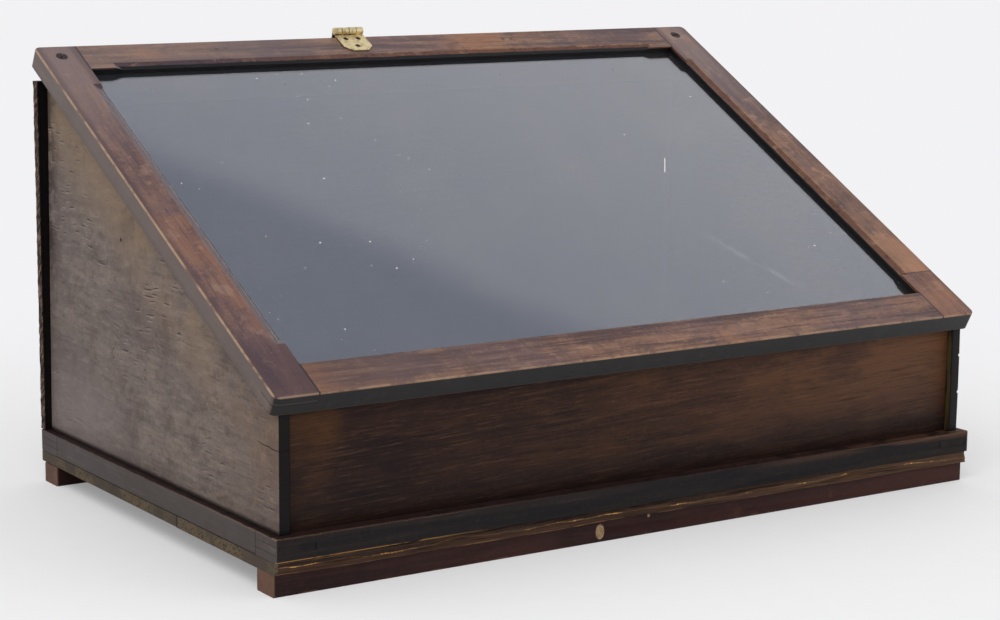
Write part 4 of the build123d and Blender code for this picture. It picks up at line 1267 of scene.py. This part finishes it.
class DISPLAYCASE_OT_stage(PieceOperator, bpy.types.Operator):
    """Set up the floor, the lights and the camera"""

    bl_idname = "displaycase.stage"
    bl_label = "Stage"

    def execute(self, context):
        self.floor(context)
        self.world(context)
        self.lamp(context, "Key", (-1.7, -1.5, 2.6), 1.8, 30.0)
        self.lamp(context, "Fill", (1.9, -2.2, 1.5), 2.2, 8.0)
        self.camera(context)
        context.scene.view_settings.view_transform = "Standard"
        return {"FINISHED"}

    def floor(self, context):
        """A wide pale floor that keeps the case's shadow, and is plain white paper further out."""
        mesh = bpy.data.meshes.new("floor")
        corners = [(x * FLOOR_REACH, y * FLOOR_REACH, 0.0) for x, y in ((-1, -1), (1, -1), (1, 1), (-1, 1))]
        mesh.from_pydata(corners, [], [(0, 1, 2, 3)])
        floor = bpy.data.objects.new("floor", mesh)
        context.scene.collection.objects.link(floor)
        paper = Finish("Pale paper")
        speck = paper.noise(paper.point, 40.0, 3.0)
        paper.put(paper.shader.inputs["Base Color"], paper.blend(speck, (246, 246, 247), (250, 250, 250)))
        paper.put(paper.shader.inputs["Roughness"], paper.plus(paper.product(speck, 0.1), 0.75))
        paper.shader.inputs["Specular IOR Level"].default_value = 0.1
        length = paper.add("VectorMath", {0: paper.point}, operation="LENGTH").outputs["Value"]
        far = paper.add("Emission", {"Color": tone(*PAPER), "Strength": 1.0})
        share = paper.product(paper.seen(), paper.plus(paper.product((length, 0.25, 0.95), 0.74), 0.26))
        mix = paper.add("MixShader", {0: share, 1: paper.shader.outputs[0], 2: far.outputs[0]})
        paper.put(paper.surface, mix.outputs[0])
        mesh.materials.append(paper.material)

    def world(self, context):
        """Even light from all sides. The camera, glass and metal see a pale backdrop, dimmer overhead."""
        world = bpy.data.worlds.new("Studio")
        world.use_nodes = True
        context.scene.world = world
        sky = Graph(world.node_tree)
        across, away, upward = sky.split(sky.add("TexCoord").outputs["Generated"])
        nearer = sky.calc("MULTIPLY_ADD", across, -0.7, sky.calc("MULTIPLY_ADD", away, -1.243, upward))
        pale = sky.blend(sky.ramp(nearer, -0.16, -0.03, "LINEAR"), LOW_BACKDROP, FAR_BACKDROP)
        mirrored = sky.blend(sky.ramp(nearer, -0.022, 0.012), pale, OVERHEAD)
        shown = sky.blend(sky.add("LightPath").outputs["Is Camera Ray"], mirrored, PAPER)
        light = sky.add("Background", {"Color": (1.0, 1.0, 1.0, 1.0), "Strength": 0.74})
        backdrop = sky.add("Background", {"Color": shown, "Strength": 1.0})
        choice = sky.add("MixShader", {0: sky.seen(), 1: light.outputs[0], 2: backdrop.outputs[0]})
        sky.add("OutputWorld", {0: choice.outputs[0]})

    def lamp(self, context, name, place, size, power):
        """One soft square light, aimed at the middle of the case."""
        data = bpy.data.lights.new(name, "AREA")
        data.energy = power
        data.size = size
        lamp = bpy.data.objects.new(name, data)
        context.scene.collection.objects.link(lamp)
        lamp.location = place
        aim = Vector((0.0, 0.0, 0.12)) - Vector(place)
        lamp.rotation_euler = aim.to_track_quat("-Z", "Y").to_euler()

    def camera(self, context):
        """The camera of the photograph, from the left front and a little above."""
        data = bpy.data.cameras.new("Camera")
        data.sensor_width = 36.0
        data.lens = 88.297
        data.clip_start = 0.05
        camera = bpy.data.objects.new("Camera", data)
        context.scene.collection.objects.link(camera)
        yaw, pitch, roll = math.radians(33.55), math.radians(10.0), math.radians(0.497)
        forward = Vector((math.sin(yaw) * math.cos(pitch), math.cos(yaw) * math.cos(pitch), -math.sin(pitch)))
        right = Vector((math.cos(yaw), -math.sin(yaw), 0.0))
        upward = right.cross(forward)
        turned_right = right * math.cos(roll) + upward * math.sin(roll)
        turned_up = upward * math.cos(roll) - right * math.sin(roll)
        matrix = Matrix((turned_right, turned_up, -forward)).transposed().to_4x4()
        matrix.translation = Vector((-1010.87 * MM, LID_ORIGIN.y - 1325.47 * MM, 452.35 * MM))
        camera.matrix_world = matrix
        context.scene.camera = camera


OPERATORS = (
    DISPLAYCASE_OT_stage,
    DISPLAYCASE_OT_lid_frame,
    DISPLAYCASE_OT_glazing,
    DISPLAYCASE_OT_walls,
    DISPLAYCASE_OT_back,
    DISPLAYCASE_OT_base_strips,
    DISPLAYCASE_OT_bottom_boards,
    DISPLAYCASE_OT_foot_battens,
    DISPLAYCASE_OT_hinge,
    DISPLAYCASE_OT_screws,
    DISPLAYCASE_OT_nails,
    DISPLAYCASE_OT_plugs,
)
SETTINGS = {
    "display_case_woods": DisplayCaseWoods,
    "display_case_wear": DisplayCaseWear,
    "display_case_metal": DisplayCaseMetal,
    "display_case_glass": DisplayCaseGlass,
}


class DISPLAYCASE_PT_panel(bpy.types.Panel):
    """The display case's settings and pieces"""

    bl_idname = "DISPLAYCASE_PT_panel"
    bl_label = "Display case"
    bl_space_type = "VIEW_3D"
    bl_region_type = "UI"
    bl_category = "Display case"

    def draw(self, context):
        for group in SETTINGS:
            settings = getattr(context.scene, group)
            box = self.layout.box()
            for name in settings.__annotations__:
                box.prop(settings, name)
        for operator in OPERATORS:
            self.layout.operator(operator.bl_idname)


def register():
    for group, settings in SETTINGS.items():
        bpy.utils.register_class(settings)
        setattr(bpy.types.Scene, group, PointerProperty(type=settings))
    for operator in OPERATORS:
        bpy.utils.register_class(operator)
    bpy.utils.register_class(DISPLAYCASE_PT_panel)


def unregister():
    bpy.utils.unregister_class(DISPLAYCASE_PT_panel)
    for operator in reversed(OPERATORS):
        bpy.utils.unregister_class(operator)
    for group, settings in SETTINGS.items():
        delattr(bpy.types.Scene, group)
        bpy.utils.unregister_class(settings)


def main():
    """Registers the classes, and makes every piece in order."""
    register()
    for operator in OPERATORS:
        family, name = operator.bl_idname.split(".")
        getattr(getattr(bpy.ops, family), name)()


if __name__ == "__main__":
    main()
